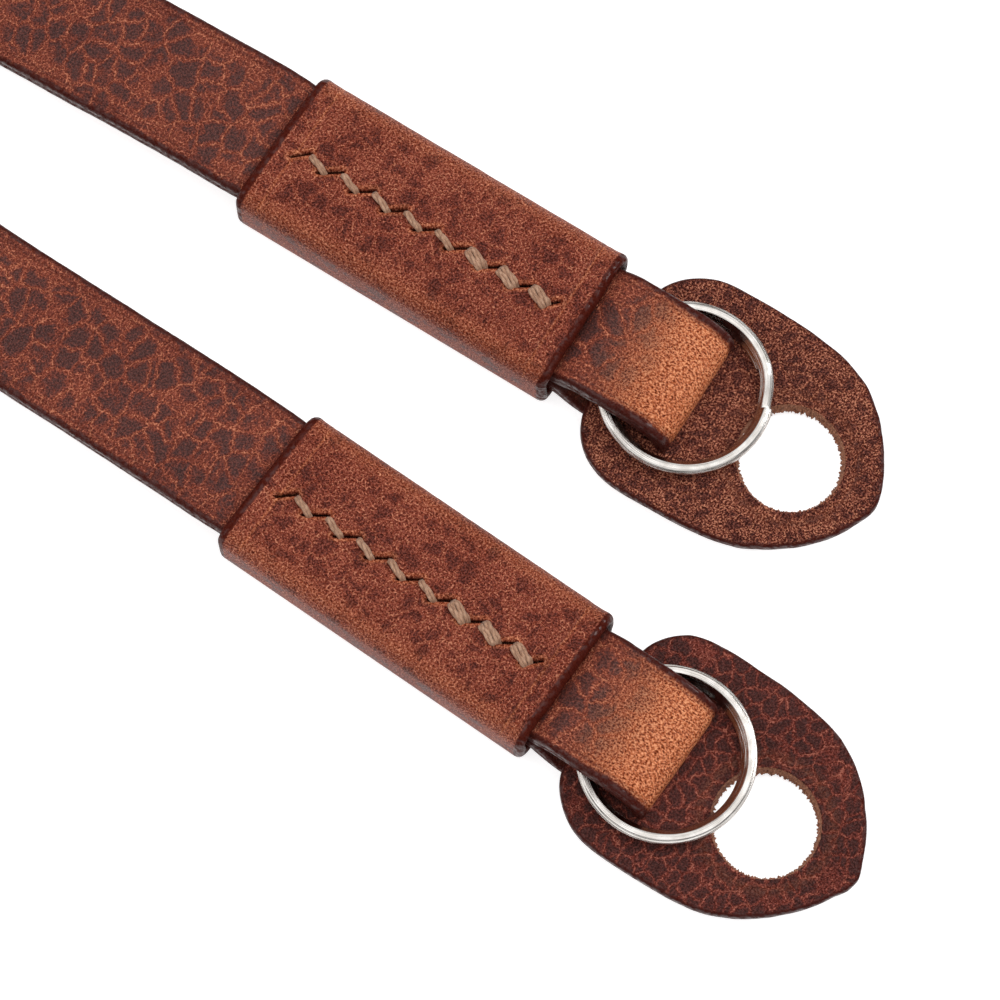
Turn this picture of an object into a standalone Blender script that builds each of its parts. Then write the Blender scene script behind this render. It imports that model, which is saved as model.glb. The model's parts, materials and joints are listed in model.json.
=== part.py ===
"""A leather camera neck strap, lying flat with its two ends side by side.

One long strap makes the whole loop. Each end folds round a split ring, passes down through a slit
in a leather tab, and runs back into a sewn leather sleeve that holds the fold shut. Metres, +Z up.
"""

import math
from typing import NamedTuple

import bmesh
import bpy
from mathutils import Matrix, Vector

# Strap
STRAP_LENGTH = 1.0
STRAP_WIDTH = 0.0118
FOLDED_WIDTH = 0.0111
STRAP_THICKNESS = 0.0020
SKIVED_THICKNESS = 0.0010
EDGE_ROUNDING = 0.0006
CORNER_LIMIT = 0.45
TRIM_RUN = 0.0030
TAIL_SHORT_OF_SLEEVE = 0.0015

# Gaps between leather and leather, and between leather and ring
LEATHER_GAP = 0.0003
RING_CLEARANCE = 0.0002
RING_SIDE_CLEARANCE = 0.00065
SLIT_SIDE_CLEARANCE = 0.0003

# Sleeve
SLEEVE_LENGTH = 0.0303
SLEEVE_WALL = 0.0009
SLEEVE_OUTER_ROUNDING = 0.0016
SLEEVE_INNER_ROUNDING = 0.0007

# Split ring
RING_WIRE_WIDTH = 0.0010
RING_WIRE_HEIGHT = 0.0007
RING_WIRE_ROUNDING = 0.0002
RING_COIL_GAP = 0.00006
RING_CROSSING = math.radians(32)
RING_LEAN = math.radians(2.0)
MOUTH_TO_RING = 0.00225
BEND_PAST_RING_CENTRE = 0.00185

# Tab
TAB_THICKNESS = 0.0013
TAB_BACK_MARGIN = 0.0054
TAB_SIDE_MARGIN = 0.0042
TAB_TIP_MARGIN = 0.0038
TAB_SKEW = math.radians(1.5)
TAB_LANDS_AT = 0.8
SLIT_TO_HOLE = 0.0036
HOLE_RADIUS = 0.0047

# How the strap folds: where it is pared, and the shares of its thickness that it slants back and on
BEND_DEPTH = 0.0033
RAMP_IN_SLEEVE = 0.0006
PARED_FROM = math.radians(54)
PARED_OVER = math.radians(50)
SLANT_BACK = 0.72
SLANT_ON = 0.75

# How the loop lies: shares of a side for its curve's handles and for standing up on edge
DROP_RUN = 0.0380
STRAIGHT_RUN = 0.0060
TURN_RADIUS = 0.0420
TURN_SIDE = 0.0040
HANDLE_SHARE = 0.4
STAND_FROM = 0.02
STAND_OVER = 0.5

# Fineness of the meshes
TURN_STEPS = 22
RUN_STEPS = 34
BEND_STEPS = 14
RAMP_STEPS = 6
RING_STEPS = 44
OUTLINE_STEPS = 5
HOLE_STEPS = 32
TAB_BANDS = 12
BAND_NUDGE = 0.0001
WELD_DISTANCE = 0.000002
SHARP_ANGLE = math.radians(40)

# Half outline of the tab from its back edge to its tip, as shares of its length and half width
TAB_OUTLINE = (
    ("back middle", 0.000, 0.000),
    ("back", 0.002, 0.350),
    ("back corner start", 0.018, 0.640),
    ("back corner", 0.085, 0.850),
    ("back corner end", 0.190, 0.975),
    ("widest", 0.360, 1.000),
    ("side", 0.540, 0.968),
    ("shoulder", 0.700, 0.875),
    ("front corner", 0.845, 0.660),
    ("tip side", 0.955, 0.350),
    ("tip", 1.000, 0.000),
)

# Colours and finish, from dark leather to nickel: red, green, blue, roughness, metallic
STRAP_FINISH = ("strap_leather", 0.17, 0.066, 0.040, 0.55, 0.0)
SLEEVE_FINISH = ("sleeve_leather", 0.20, 0.062, 0.038, 0.50, 0.0)
TAB_FINISH = ("tab_leather", 0.13, 0.045, 0.032, 0.60, 0.0)
RING_FINISH = ("nickel", 0.72, 0.69, 0.66, 0.18, 1.0)

# Heights in the sleeve, from the surface up
TAIL_MID = SLEEVE_WALL + LEATHER_GAP + STRAP_THICKNESS / 2
HELD_MID = TAIL_MID + STRAP_THICKNESS + LEATHER_GAP
SLEEVE_HEIGHT = HELD_MID + STRAP_THICKNESS / 2 + LEATHER_GAP + SLEEVE_WALL
SLEEVE_WIDTH = FOLDED_WIDTH + 2 * (LEATHER_GAP + SLEEVE_WALL)

# Heights at the fold, from the surface up
SKIVED_MID = SKIVED_THICKNESS / 2
TAB_UNDERSIDE = SKIVED_THICKNESS + LEATHER_GAP
RING_HEIGHT = 2 * RING_WIRE_HEIGHT + RING_COIL_GAP
RING_INNER_RADIUS = math.hypot(BEND_PAST_RING_CENTRE, FOLDED_WIDTH / 2) + RING_SIDE_CLEARANCE
RING_RADIUS = RING_INNER_RADIUS + RING_WIRE_WIDTH
RING_RISE = RING_RADIUS * math.sin(RING_LEAN)
RING_MID = TAB_UNDERSIDE + TAB_THICKNESS + RING_CLEARANCE + RING_HEIGHT / 2
OVER_RING_MID = RING_MID + RING_RISE + RING_HEIGHT / 2 + RING_CLEARANCE + STRAP_THICKNESS / 2

# Places along an end, measured from the sleeve's mouth towards the ring
RING_X = MOUTH_TO_RING + RING_RADIUS
BEND_X = RING_X + BEND_PAST_RING_CENTRE
BEND_CENTRE_X = BEND_X - STRAP_THICKNESS / 2 - BEND_DEPTH
BEND_CENTRE_Z = (OVER_RING_MID + SKIVED_MID) / 2
BEND_HALF_HEIGHT = (OVER_RING_MID - SKIVED_MID) / 2


class End(NamedTuple):
    """How one end lies: its sleeve's mouth, its heading, its ring's split and its tab's cut."""

    letter: str
    mouth: tuple
    heading: float
    ring_split: float
    tab_aside: float
    hole_along: float


ENDS = (
    End("a", (-0.0012, 0.0156), math.radians(0.0), math.radians(17), 0.0003, 0.0001),
    End("b", (0.01375, -0.0114), math.radians(-2.9), math.radians(150), 0.0006, -0.0005),
)


class Station(NamedTuple):
    """One cross-section of the strap: where it is, which way its width lies, and its size."""

    place: Vector
    side: Vector
    width: float
    thickness: float


def ease(share):
    """A smooth step from 0 to 1."""
    return (1 - math.cos(math.pi * min(max(share, 0.0), 1.0))) / 2


def blend(low, high, share):
    return low + (high - low) * share


def spread(start, stop, steps):
    """Evenly spaced values from start to stop, without the last one."""
    return [blend(start, stop, i / steps) for i in range(steps)]


def bend_x_at(height):
    """How far the strap's middle reaches at a height on the lower half of the fold."""
    drop = (height - BEND_CENTRE_Z) / BEND_HALF_HEIGHT
    return BEND_CENTRE_X + BEND_DEPTH * math.sqrt(max(0.0, 1 - drop * drop))


def bend_thickness(angle):
    """The strap keeps its full thickness over the fold and is pared thin before the slit."""
    return blend(STRAP_THICKNESS, SKIVED_THICKNESS, ease((angle - PARED_FROM) / PARED_OVER))


SLIT_BACK = bend_x_at(TAB_UNDERSIDE) - SLANT_BACK * SKIVED_THICKNESS - LEATHER_GAP
SLIT_FRONT = bend_x_at(TAB_UNDERSIDE + TAB_THICKNESS) + SLANT_ON * SKIVED_THICKNESS + LEATHER_GAP
SLIT_HALF_LENGTH = FOLDED_WIDTH / 2 + SLIT_SIDE_CLEARANCE
TAB_BACK = SLIT_BACK - TAB_BACK_MARGIN
HOLE_X = SLIT_FRONT + SLIT_TO_HOLE + HOLE_RADIUS
TAB_LENGTH = HOLE_X + HOLE_RADIUS + TAB_TIP_MARGIN - TAB_BACK
TAB_HALF_WIDTH = SLIT_HALF_LENGTH + TAB_SIDE_MARGIN


def tail_run():
    """Stations of the tail, from its end in the sleeve out to the fold's underside."""
    tail_end = TAIL_SHORT_OF_SLEEVE - SLEEVE_LENGTH
    level = spread(tail_end, -RAMP_IN_SLEEVE, 4)
    ramp_end = TAB_BACK - LEATHER_GAP
    ramp = spread(-RAMP_IN_SLEEVE, ramp_end, RAMP_STEPS + 2)
    under_tab = spread(ramp_end, BEND_CENTRE_X, 3)
    found = []
    for x in level + ramp + under_tab:
        share = ease((x + RAMP_IN_SLEEVE) / (ramp_end + RAMP_IN_SLEEVE))
        height = blend(TAIL_MID, SKIVED_MID, share)
        thickness = blend(STRAP_THICKNESS, SKIVED_THICKNESS, share)
        found.append((x, height, thickness))
    return found


def fold():
    """Stations round the fold, from its underside up to its top."""
    found = []
    for angle in spread(math.pi, 0.0, BEND_STEPS):
        x = BEND_CENTRE_X + BEND_DEPTH * math.sin(angle)
        z = BEND_CENTRE_Z + BEND_HALF_HEIGHT * math.cos(angle)
        found.append((x, z, bend_thickness(angle)))
    return found


def held_run():
    """Stations of the upper layer, from the top of the fold through the sleeve to the surface."""
    ramp_end = MOUTH_TO_RING + RING_WIRE_ROUNDING
    sleeve_end = -SLEEVE_LENGTH
    over_ring = spread(BEND_CENTRE_X, ramp_end, 3)
    ramp = spread(ramp_end, -RAMP_IN_SLEEVE, RAMP_STEPS + 2)
    in_sleeve = spread(-RAMP_IN_SLEEVE, sleeve_end, 4)
    drop = spread(sleeve_end, sleeve_end - DROP_RUN, RAMP_STEPS + 2)
    found = []
    for x in over_ring + ramp + in_sleeve + drop:
        height = blend(HELD_MID, OVER_RING_MID, ease((x + RAMP_IN_SLEEVE) / (ramp_end + RAMP_IN_SLEEVE)))
        if x < sleeve_end:
            height = blend(HELD_MID, STRAP_THICKNESS / 2, ease((sleeve_end - x) / DROP_RUN))
        found.append((x, height, STRAP_THICKNESS))
    return found


def width_at(x):
    """The folded end is trimmed a little narrower than the rest, from just inside the sleeve."""
    return blend(STRAP_WIDTH, FOLDED_WIDTH, ease((x + SLEEVE_LENGTH + TRIM_RUN) / TRIM_RUN))


def end_stations(frame):
    """All stations of one end in the layout, from the tail's end to where the strap lies flat."""
    side = (frame.to_3x3() @ Vector((0, 1, 0))).normalized()
    points = tail_run() + fold() + held_run()
    return [Station(frame @ Vector((x, 0, z)), side, width_at(x), t) for x, z, t in points]


def bezier(points, share):
    a, b, c, d = points
    left = 1 - share
    return a * left**3 + b * 3 * left**2 * share + c * 3 * left * share**2 + d * share**3


def standing_station(place, heading, roll):
    """A station that is rolled from flat to standing on its edge, resting on the surface."""
    right = Vector((heading.y, -heading.x, 0)).normalized()
    side = right * math.cos(roll) - Vector((0, 0, 1)) * math.sin(roll)
    height = STRAP_WIDTH / 2 * math.sin(roll) + STRAP_THICKNESS / 2 * math.cos(roll)
    return Station(Vector((place.x, place.y, height)), side, STRAP_WIDTH, STRAP_THICKNESS)


def side_run(start, heading, turn_edge):
    """One side of the loop, from an end's flat strap to the turn, standing up on the way."""
    straight_end = start + heading * STRAIGHT_RUN
    reach = (straight_end - turn_edge).length
    handles = (
        straight_end,
        straight_end + heading * reach * HANDLE_SHARE,
        turn_edge + Vector((reach * HANDLE_SHARE, 0, 0)),
        turn_edge,
    )
    found = [(start + heading * step, 0.0) for step in spread(0, STRAIGHT_RUN, 3)]
    for share in spread(0, 1, RUN_STEPS):
        roll = math.pi / 2 * ease((share - STAND_FROM) / STAND_OVER)
        found.append((bezier(handles, share), roll))
    return found


def middle_stations(frame_a, frame_b):
    """The hidden middle of the loop: two sides that stand up, joined by one round turn."""
    out = Vector((-SLEEVE_LENGTH - DROP_RUN, 0, 0))
    starts = [(frame @ out).xy.to_3d() for frame in (frame_a, frame_b)]
    headings = [frame.to_3x3() @ Vector((-1, 0, 0)) for frame in (frame_a, frame_b)]
    ends = 2 * (BEND_X + SLEEVE_LENGTH + DROP_RUN + STRAIGHT_RUN)
    side_length = (STRAP_LENGTH - ends - math.pi * TURN_RADIUS) / 2
    mean_start = (starts[0].x + starts[1].x) / 2 - STRAIGHT_RUN
    centre = Vector((mean_start - side_length, TURN_SIDE, 0))
    across = Vector((0, TURN_RADIUS, 0))
    side_a = side_run(starts[0], headings[0], centre + across)
    side_b = side_run(starts[1], headings[1], centre - across)
    turn = []
    for angle in spread(math.pi / 2, 3 * math.pi / 2, TURN_STEPS) + [3 * math.pi / 2]:
        offset = Vector((math.cos(angle), math.sin(angle), 0)) * TURN_RADIUS
        turn.append((centre + offset, math.pi / 2))
    route = side_a + turn + side_b[::-1]
    found = []
    for i, (place, roll) in enumerate(route):
        before = route[max(i - 1, 0)][0]
        after = route[min(i + 1, len(route) - 1)][0]
        found.append(standing_station(place, after - before, roll))
    return found


def rounded_box(width, height, rounding, steps):
    """Points round a rectangle with rounded corners, counter-clockwise from its right side."""
    found = []
    for quarter, (across, up) in enumerate(((1, 1), (-1, 1), (-1, -1), (1, -1))):
        centre = Vector((across * (width / 2 - rounding), up * (height / 2 - rounding)))
        for i in range(steps + 1):
            angle = (quarter + i / steps) * math.pi / 2
            found.append(centre + Vector((math.cos(angle), math.sin(angle))) * rounding)
    return found


def loft(name, stations, rounding):
    """A solid through rounded sections that stand square to the line of the stations."""
    shape = bmesh.new()
    rings = []
    for i, station in enumerate(stations):
        along = stations[min(i + 1, len(stations) - 1)].place - stations[max(i - 1, 0)].place
        normal = station.side.cross(along).normalized()
        corner = min(rounding, CORNER_LIMIT * station.thickness)
        section = rounded_box(station.width, station.thickness, corner, 1)
        rings.append([shape.verts.new(station.place + station.side * p.x + normal * p.y) for p in section])
    for near, far in zip(rings, rings[1:]):
        for i in range(len(near)):
            j = (i + 1) % len(near)
            shape.faces.new((near[i], near[j], far[j], far[i]))
    shape.faces.new(rings[0])
    shape.faces.new(rings[-1])
    bmesh.ops.recalc_face_normals(shape, faces=shape.faces)
    mesh = bpy.data.meshes.new(name)
    shape.to_mesh(mesh)
    shape.free()
    return mesh


def flat_outline_mesh(name, outlines, thickness):
    """A plate with holes: closed outlines filled by a 2D curve and given a thickness."""
    curve = bpy.data.curves.new(name, "CURVE")
    curve.dimensions = "2D"
    curve.fill_mode = "BOTH"
    curve.extrude = thickness / 2
    for outline in outlines:
        spline = curve.splines.new("POLY")
        spline.points.add(len(outline) - 1)
        for point, corner in zip(spline.points, outline):
            point.co = (corner[0], corner[1], 0, 1)
        spline.use_cyclic_u = True
    guide = bpy.data.objects.new(name + "_guide", curve)
    bpy.context.scene.collection.objects.link(guide)
    bpy.context.view_layer.update()
    evaluated = guide.evaluated_get(bpy.context.evaluated_depsgraph_get())
    mesh = bpy.data.meshes.new_from_object(evaluated)
    mesh.name = name
    bpy.data.objects.remove(guide)
    shape = bmesh.new()
    shape.from_mesh(mesh)
    bmesh.ops.remove_doubles(shape, verts=shape.verts, dist=WELD_DISTANCE)
    shape.to_mesh(mesh)
    shape.free()
    return mesh


def smooth_loop(points, steps):
    """A smooth closed line through the points, with the given number of steps between two of them."""
    found = []
    for i in range(len(points)):
        before, start, stop, after = (points[(i + k) % len(points)] for k in (-1, 0, 1, 2))
        for share in spread(0, 1, steps):
            a = 2 * start
            b = (stop - before) * share
            c = (2 * before - 5 * start + 4 * stop - after) * share**2
            d = (3 * start - before - 3 * stop + after) * share**3
            found.append((a + b + c + d) / 2)
    return found


def tab_outline(aside):
    """The whole outline of the tab, from the table's half and its mirror image."""
    half = [Vector((x * TAB_LENGTH, y * TAB_HALF_WIDTH)) for _, x, y in TAB_OUTLINE]
    mirrored = [Vector((p.x, -p.y)) for p in half[-2:0:-1]]
    turn = Matrix.Rotation(TAB_SKEW, 2)
    pivot = Vector(((SLIT_BACK + SLIT_FRONT) / 2 - TAB_BACK, 0))
    place = pivot + Vector((TAB_BACK, aside))
    return [turn @ (p - pivot) + place for p in smooth_loop(half + mirrored, OUTLINE_STEPS)]


def tab_height(x):
    """Height of the tab's underside: over the strap at its back, down on the surface at its tip."""
    landing = HOLE_X + TAB_LANDS_AT * HOLE_RADIUS
    return TAB_UNDERSIDE * (1 - ease((x - SLIT_FRONT) / (landing - SLIT_FRONT)))


def tab_mesh(name, aside, hole_along):
    """A tab with its slit and its punched hole, bent down from the strap to the surface."""
    hole = []
    for turn in spread(0, 2 * math.pi, HOLE_STEPS):
        offset = Vector((math.cos(turn), math.sin(turn))) * HOLE_RADIUS
        hole.append(Vector((HOLE_X + hole_along, aside)) + offset)
    slit_centre = Vector(((SLIT_BACK + SLIT_FRONT) / 2, 0))
    slit = rounded_box(SLIT_FRONT - SLIT_BACK, 2 * SLIT_HALF_LENGTH, LEATHER_GAP / 2, 1)
    slit = [slit_centre + corner for corner in slit]
    mesh = flat_outline_mesh(name, (tab_outline(aside), hole, slit), TAB_THICKNESS)
    shape = bmesh.new()
    shape.from_mesh(mesh)
    for x in spread(SLIT_FRONT + BAND_NUDGE, HOLE_X + HOLE_RADIUS, TAB_BANDS):
        parts = shape.verts[:] + shape.edges[:] + shape.faces[:]
        bmesh.ops.bisect_plane(shape, geom=parts, plane_co=(x, 0, 0), plane_no=(1, 0, 0))
    for vertex in shape.verts:
        vertex.co.z += TAB_THICKNESS / 2 + tab_height(vertex.co.x)
    bmesh.ops.triangulate(shape, faces=shape.faces)
    bmesh.ops.recalc_face_normals(shape, faces=shape.faces)
    shape.to_mesh(mesh)
    shape.free()
    return mesh


def sleeve_mesh(name):
    """A closed wrap: a rounded tube that runs along X, resting on the surface."""
    opening = (SLEEVE_WIDTH - 2 * SLEEVE_WALL, SLEEVE_HEIGHT - 2 * SLEEVE_WALL)
    outer = rounded_box(SLEEVE_WIDTH, SLEEVE_HEIGHT, SLEEVE_OUTER_ROUNDING, 5)
    inner = rounded_box(*opening, SLEEVE_INNER_ROUNDING, 3)
    mesh = flat_outline_mesh(name, (outer, inner), SLEEVE_LENGTH)
    middle = Matrix.Translation((-SLEEVE_LENGTH / 2, 0, SLEEVE_HEIGHT / 2))
    lay_along = Matrix(((0, 0, 1, 0), (1, 0, 0, 0), (0, 1, 0, 0), (0, 0, 0, 1)))
    mesh.transform(middle @ lay_along)
    return mesh


def ring_mesh(name, split):
    """A split ring: two turns of flat wire, one over the other, that cross over once."""
    stations = []
    lift = (RING_WIRE_HEIGHT + RING_COIL_GAP) / 2
    turns = 4 * math.pi - RING_CROSSING
    steps = 2 * RING_STEPS
    radius = RING_RADIUS - RING_WIRE_WIDTH / 2
    for angle in spread(0, turns, steps) + [turns]:
        crossed = ease((angle - 2 * math.pi + RING_CROSSING) / RING_CROSSING)
        out = Vector((math.cos(split - angle), math.sin(split - angle), 0))
        place = out * radius + Vector((0, 0, blend(lift, -lift, crossed)))
        stations.append(Station(place, out, RING_WIRE_WIDTH, RING_WIRE_HEIGHT))
    return loft(name, stations, RING_WIRE_ROUNDING)


def finish_of(name, red, green, blue, roughness, metallic):
    material = bpy.data.materials.new(name)
    material.use_nodes = True
    shader = material.node_tree.nodes["Principled BSDF"]
    shader.inputs["Base Color"].default_value = (red, green, blue, 1)
    shader.inputs["Roughness"].default_value = roughness
    shader.inputs["Metallic"].default_value = metallic
    material.diffuse_color = (red, green, blue, 1)
    return material


def add_piece(name, mesh, finish, parent, collection):
    piece = bpy.data.objects.new(name, mesh)
    collection.objects.link(piece)
    piece.parent = parent
    mesh.materials.append(finish)
    mesh.shade_smooth()
    mesh.set_sharp_from_angle(angle=SHARP_ANGLE)
    return piece


def add_empty(name, parent, collection, location=(0, 0, 0), heading=0.0):
    empty = bpy.data.objects.new(name, None)
    empty.location = location
    empty.rotation_euler.z = heading
    empty.parent = parent
    collection.objects.link(empty)
    return empty


def end_frame(end):
    return Matrix.Translation((*end.mouth, 0)) @ Matrix.Rotation(end.heading, 4, "Z")


def add_end(end, parent, collection, finishes):
    """Sleeve, tab and ring of one end, placed by the middle of the sleeve's mouth."""
    holder = add_empty("end_" + end.letter, parent, collection, (*end.mouth, 0), end.heading)
    sleeve = "sleeve_" + end.letter
    add_piece(sleeve, sleeve_mesh(sleeve), finishes["sleeve"], holder, collection)
    tab = "tab_" + end.letter
    tab_shape = tab_mesh(tab, end.tab_aside, end.hole_along)
    add_piece(tab, tab_shape, finishes["tab"], holder, collection)
    ring = "ring_" + end.letter
    ring_shape = ring_mesh(ring, end.ring_split)
    piece = add_piece(ring, ring_shape, finishes["ring"], holder, collection)
    piece.location = (RING_X, 0, RING_MID)
    piece.rotation_euler.y = RING_LEAN


def centre_footprint(root, collection):
    """Moves the whole strap so that the middle of its footprint is at the origin."""
    bpy.context.view_layer.update()
    corners = []
    for piece in collection.objects:
        if piece.type == "MESH":
            corners += [piece.matrix_world @ vertex.co for vertex in piece.data.vertices]
    root.location.x = -(min(c.x for c in corners) + max(c.x for c in corners)) / 2
    root.location.y = -(min(c.y for c in corners) + max(c.y for c in corners)) / 2
    bpy.context.view_layer.update()


def main():
    for existing in list(bpy.data.objects):
        bpy.data.objects.remove(existing)
    collection = bpy.data.collections.new("camera_neck_strap")
    bpy.context.scene.collection.children.link(collection)
    finishes = {
        "strap": finish_of(*STRAP_FINISH),
        "sleeve": finish_of(*SLEEVE_FINISH),
        "tab": finish_of(*TAB_FINISH),
        "ring": finish_of(*RING_FINISH),
    }
    root = add_empty("layout", None, collection)
    frame_a, frame_b = (end_frame(end) for end in ENDS)
    stations = end_stations(frame_a) + middle_stations(frame_a, frame_b)
    for station in end_stations(frame_b)[::-1]:
        stations.append(station._replace(side=-station.side))
    add_piece("strap", loft("strap", stations, EDGE_ROUNDING), finishes["strap"], root, collection)
    for end in ENDS:
        add_end(end, root, collection, finishes)
    centre_footprint(root, collection)


main()
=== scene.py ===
"""The looks of the camera neck strap: grained leather, sewn sleeves, punched tabs and split rings.

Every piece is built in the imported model's own frame, in metres, around its fixed nodes. Sizes that
describe leather are written in millimetres and turned to metres by MM.
"""

from __future__ import annotations

import json
import logging
import math
import random
from dataclasses import dataclass, field
from enum import Enum
from typing import NamedTuple

import bmesh
import bpy
import numpy as np
from mathutils import Matrix, Vector, noise


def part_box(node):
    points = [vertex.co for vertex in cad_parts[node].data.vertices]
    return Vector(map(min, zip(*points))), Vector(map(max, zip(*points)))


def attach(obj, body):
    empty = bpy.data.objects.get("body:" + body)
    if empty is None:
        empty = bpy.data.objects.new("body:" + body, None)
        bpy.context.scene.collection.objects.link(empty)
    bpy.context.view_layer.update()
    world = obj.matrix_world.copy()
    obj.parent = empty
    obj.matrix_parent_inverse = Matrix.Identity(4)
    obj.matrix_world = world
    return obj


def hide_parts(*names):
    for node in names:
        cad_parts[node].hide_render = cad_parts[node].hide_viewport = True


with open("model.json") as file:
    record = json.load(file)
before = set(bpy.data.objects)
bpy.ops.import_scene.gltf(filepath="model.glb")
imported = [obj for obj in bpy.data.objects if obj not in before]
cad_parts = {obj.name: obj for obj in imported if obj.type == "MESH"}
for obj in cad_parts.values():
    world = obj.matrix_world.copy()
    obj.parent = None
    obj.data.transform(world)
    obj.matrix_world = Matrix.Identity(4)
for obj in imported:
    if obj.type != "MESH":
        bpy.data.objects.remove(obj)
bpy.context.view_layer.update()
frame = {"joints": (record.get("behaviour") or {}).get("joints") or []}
MM = 0.001
LOG = logging.getLogger("camera_neck_strap")
Colour = tuple[float, float, float]
Layer = tuple[float, float, float]
Marks = dict[str, np.ndarray]
Socket = bpy.types.NodeSocket


def ease(share: float) -> float:
    """A smooth step from 0 to 1."""
    return (1 - math.cos(math.pi * min(max(share, 0.0), 1.0))) / 2


def blend(low: float, high: float, share: float) -> float:
    """The value a share of the way from low to high."""
    return low + (high - low) * share


def runs(start: float, stop: float, step: float) -> list[float]:
    """Evenly spaced values from start up to, but without, stop.

    Args:
        start: The first value.
        stop: The value that the next run starts with.
        step: The widest spacing allowed.

    Returns:
        The values, one step or less apart.
    """
    count = max(1, math.ceil(abs(stop - start) / step))
    return [blend(start, stop, i / count) for i in range(count)]


def hump(distance: np.ndarray | float, width: float) -> np.ndarray | float:
    """A soft bump of height 1 that fades out over about twice its width."""
    return np.exp(-((distance / width) ** 2))


def raised(away: np.ndarray, height: float, at: float, width: float) -> np.ndarray:
    """A soft ridge of a height, at one distance from a line."""
    return height * hump(away - at, width)


def ripple(first: np.ndarray, second: np.ndarray, length: float, seed: float) -> np.ndarray:
    """Smooth noise from about -1 to 1 over a grid.

    Args:
        first: One coordinate of each point, in millimetres.
        second: The other coordinate.
        length: The usual distance between two crests, in millimetres.
        seed: Picks another stretch of the same noise.

    Returns:
        The noise at each point, in the grid's own form.
    """
    first, second = np.broadcast_arrays(np.asarray(first, float), np.asarray(second, float))
    spots = zip(first.ravel(), second.ravel())
    flat = [noise.noise(Vector((a / length, b / length, seed))) for a, b in spots]
    return np.array(flat).reshape(first.shape)


def waves(first: np.ndarray, second: np.ndarray, seed: float, layers: tuple[Layer, ...]) -> np.ndarray:
    """A sum of ripples over a grid.

    Args:
        first: One coordinate of each point, in millimetres.
        second: The other coordinate.
        seed: What is added to each layer's own seed.
        layers: Each layer's depth, the usual distance between its crests, and its own seed.

    Returns:
        The sum at each point, in the grid's own form.
    """
    return sum(depth * ripple(first, second, length, seed + own) for depth, length, own in layers)


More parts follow.
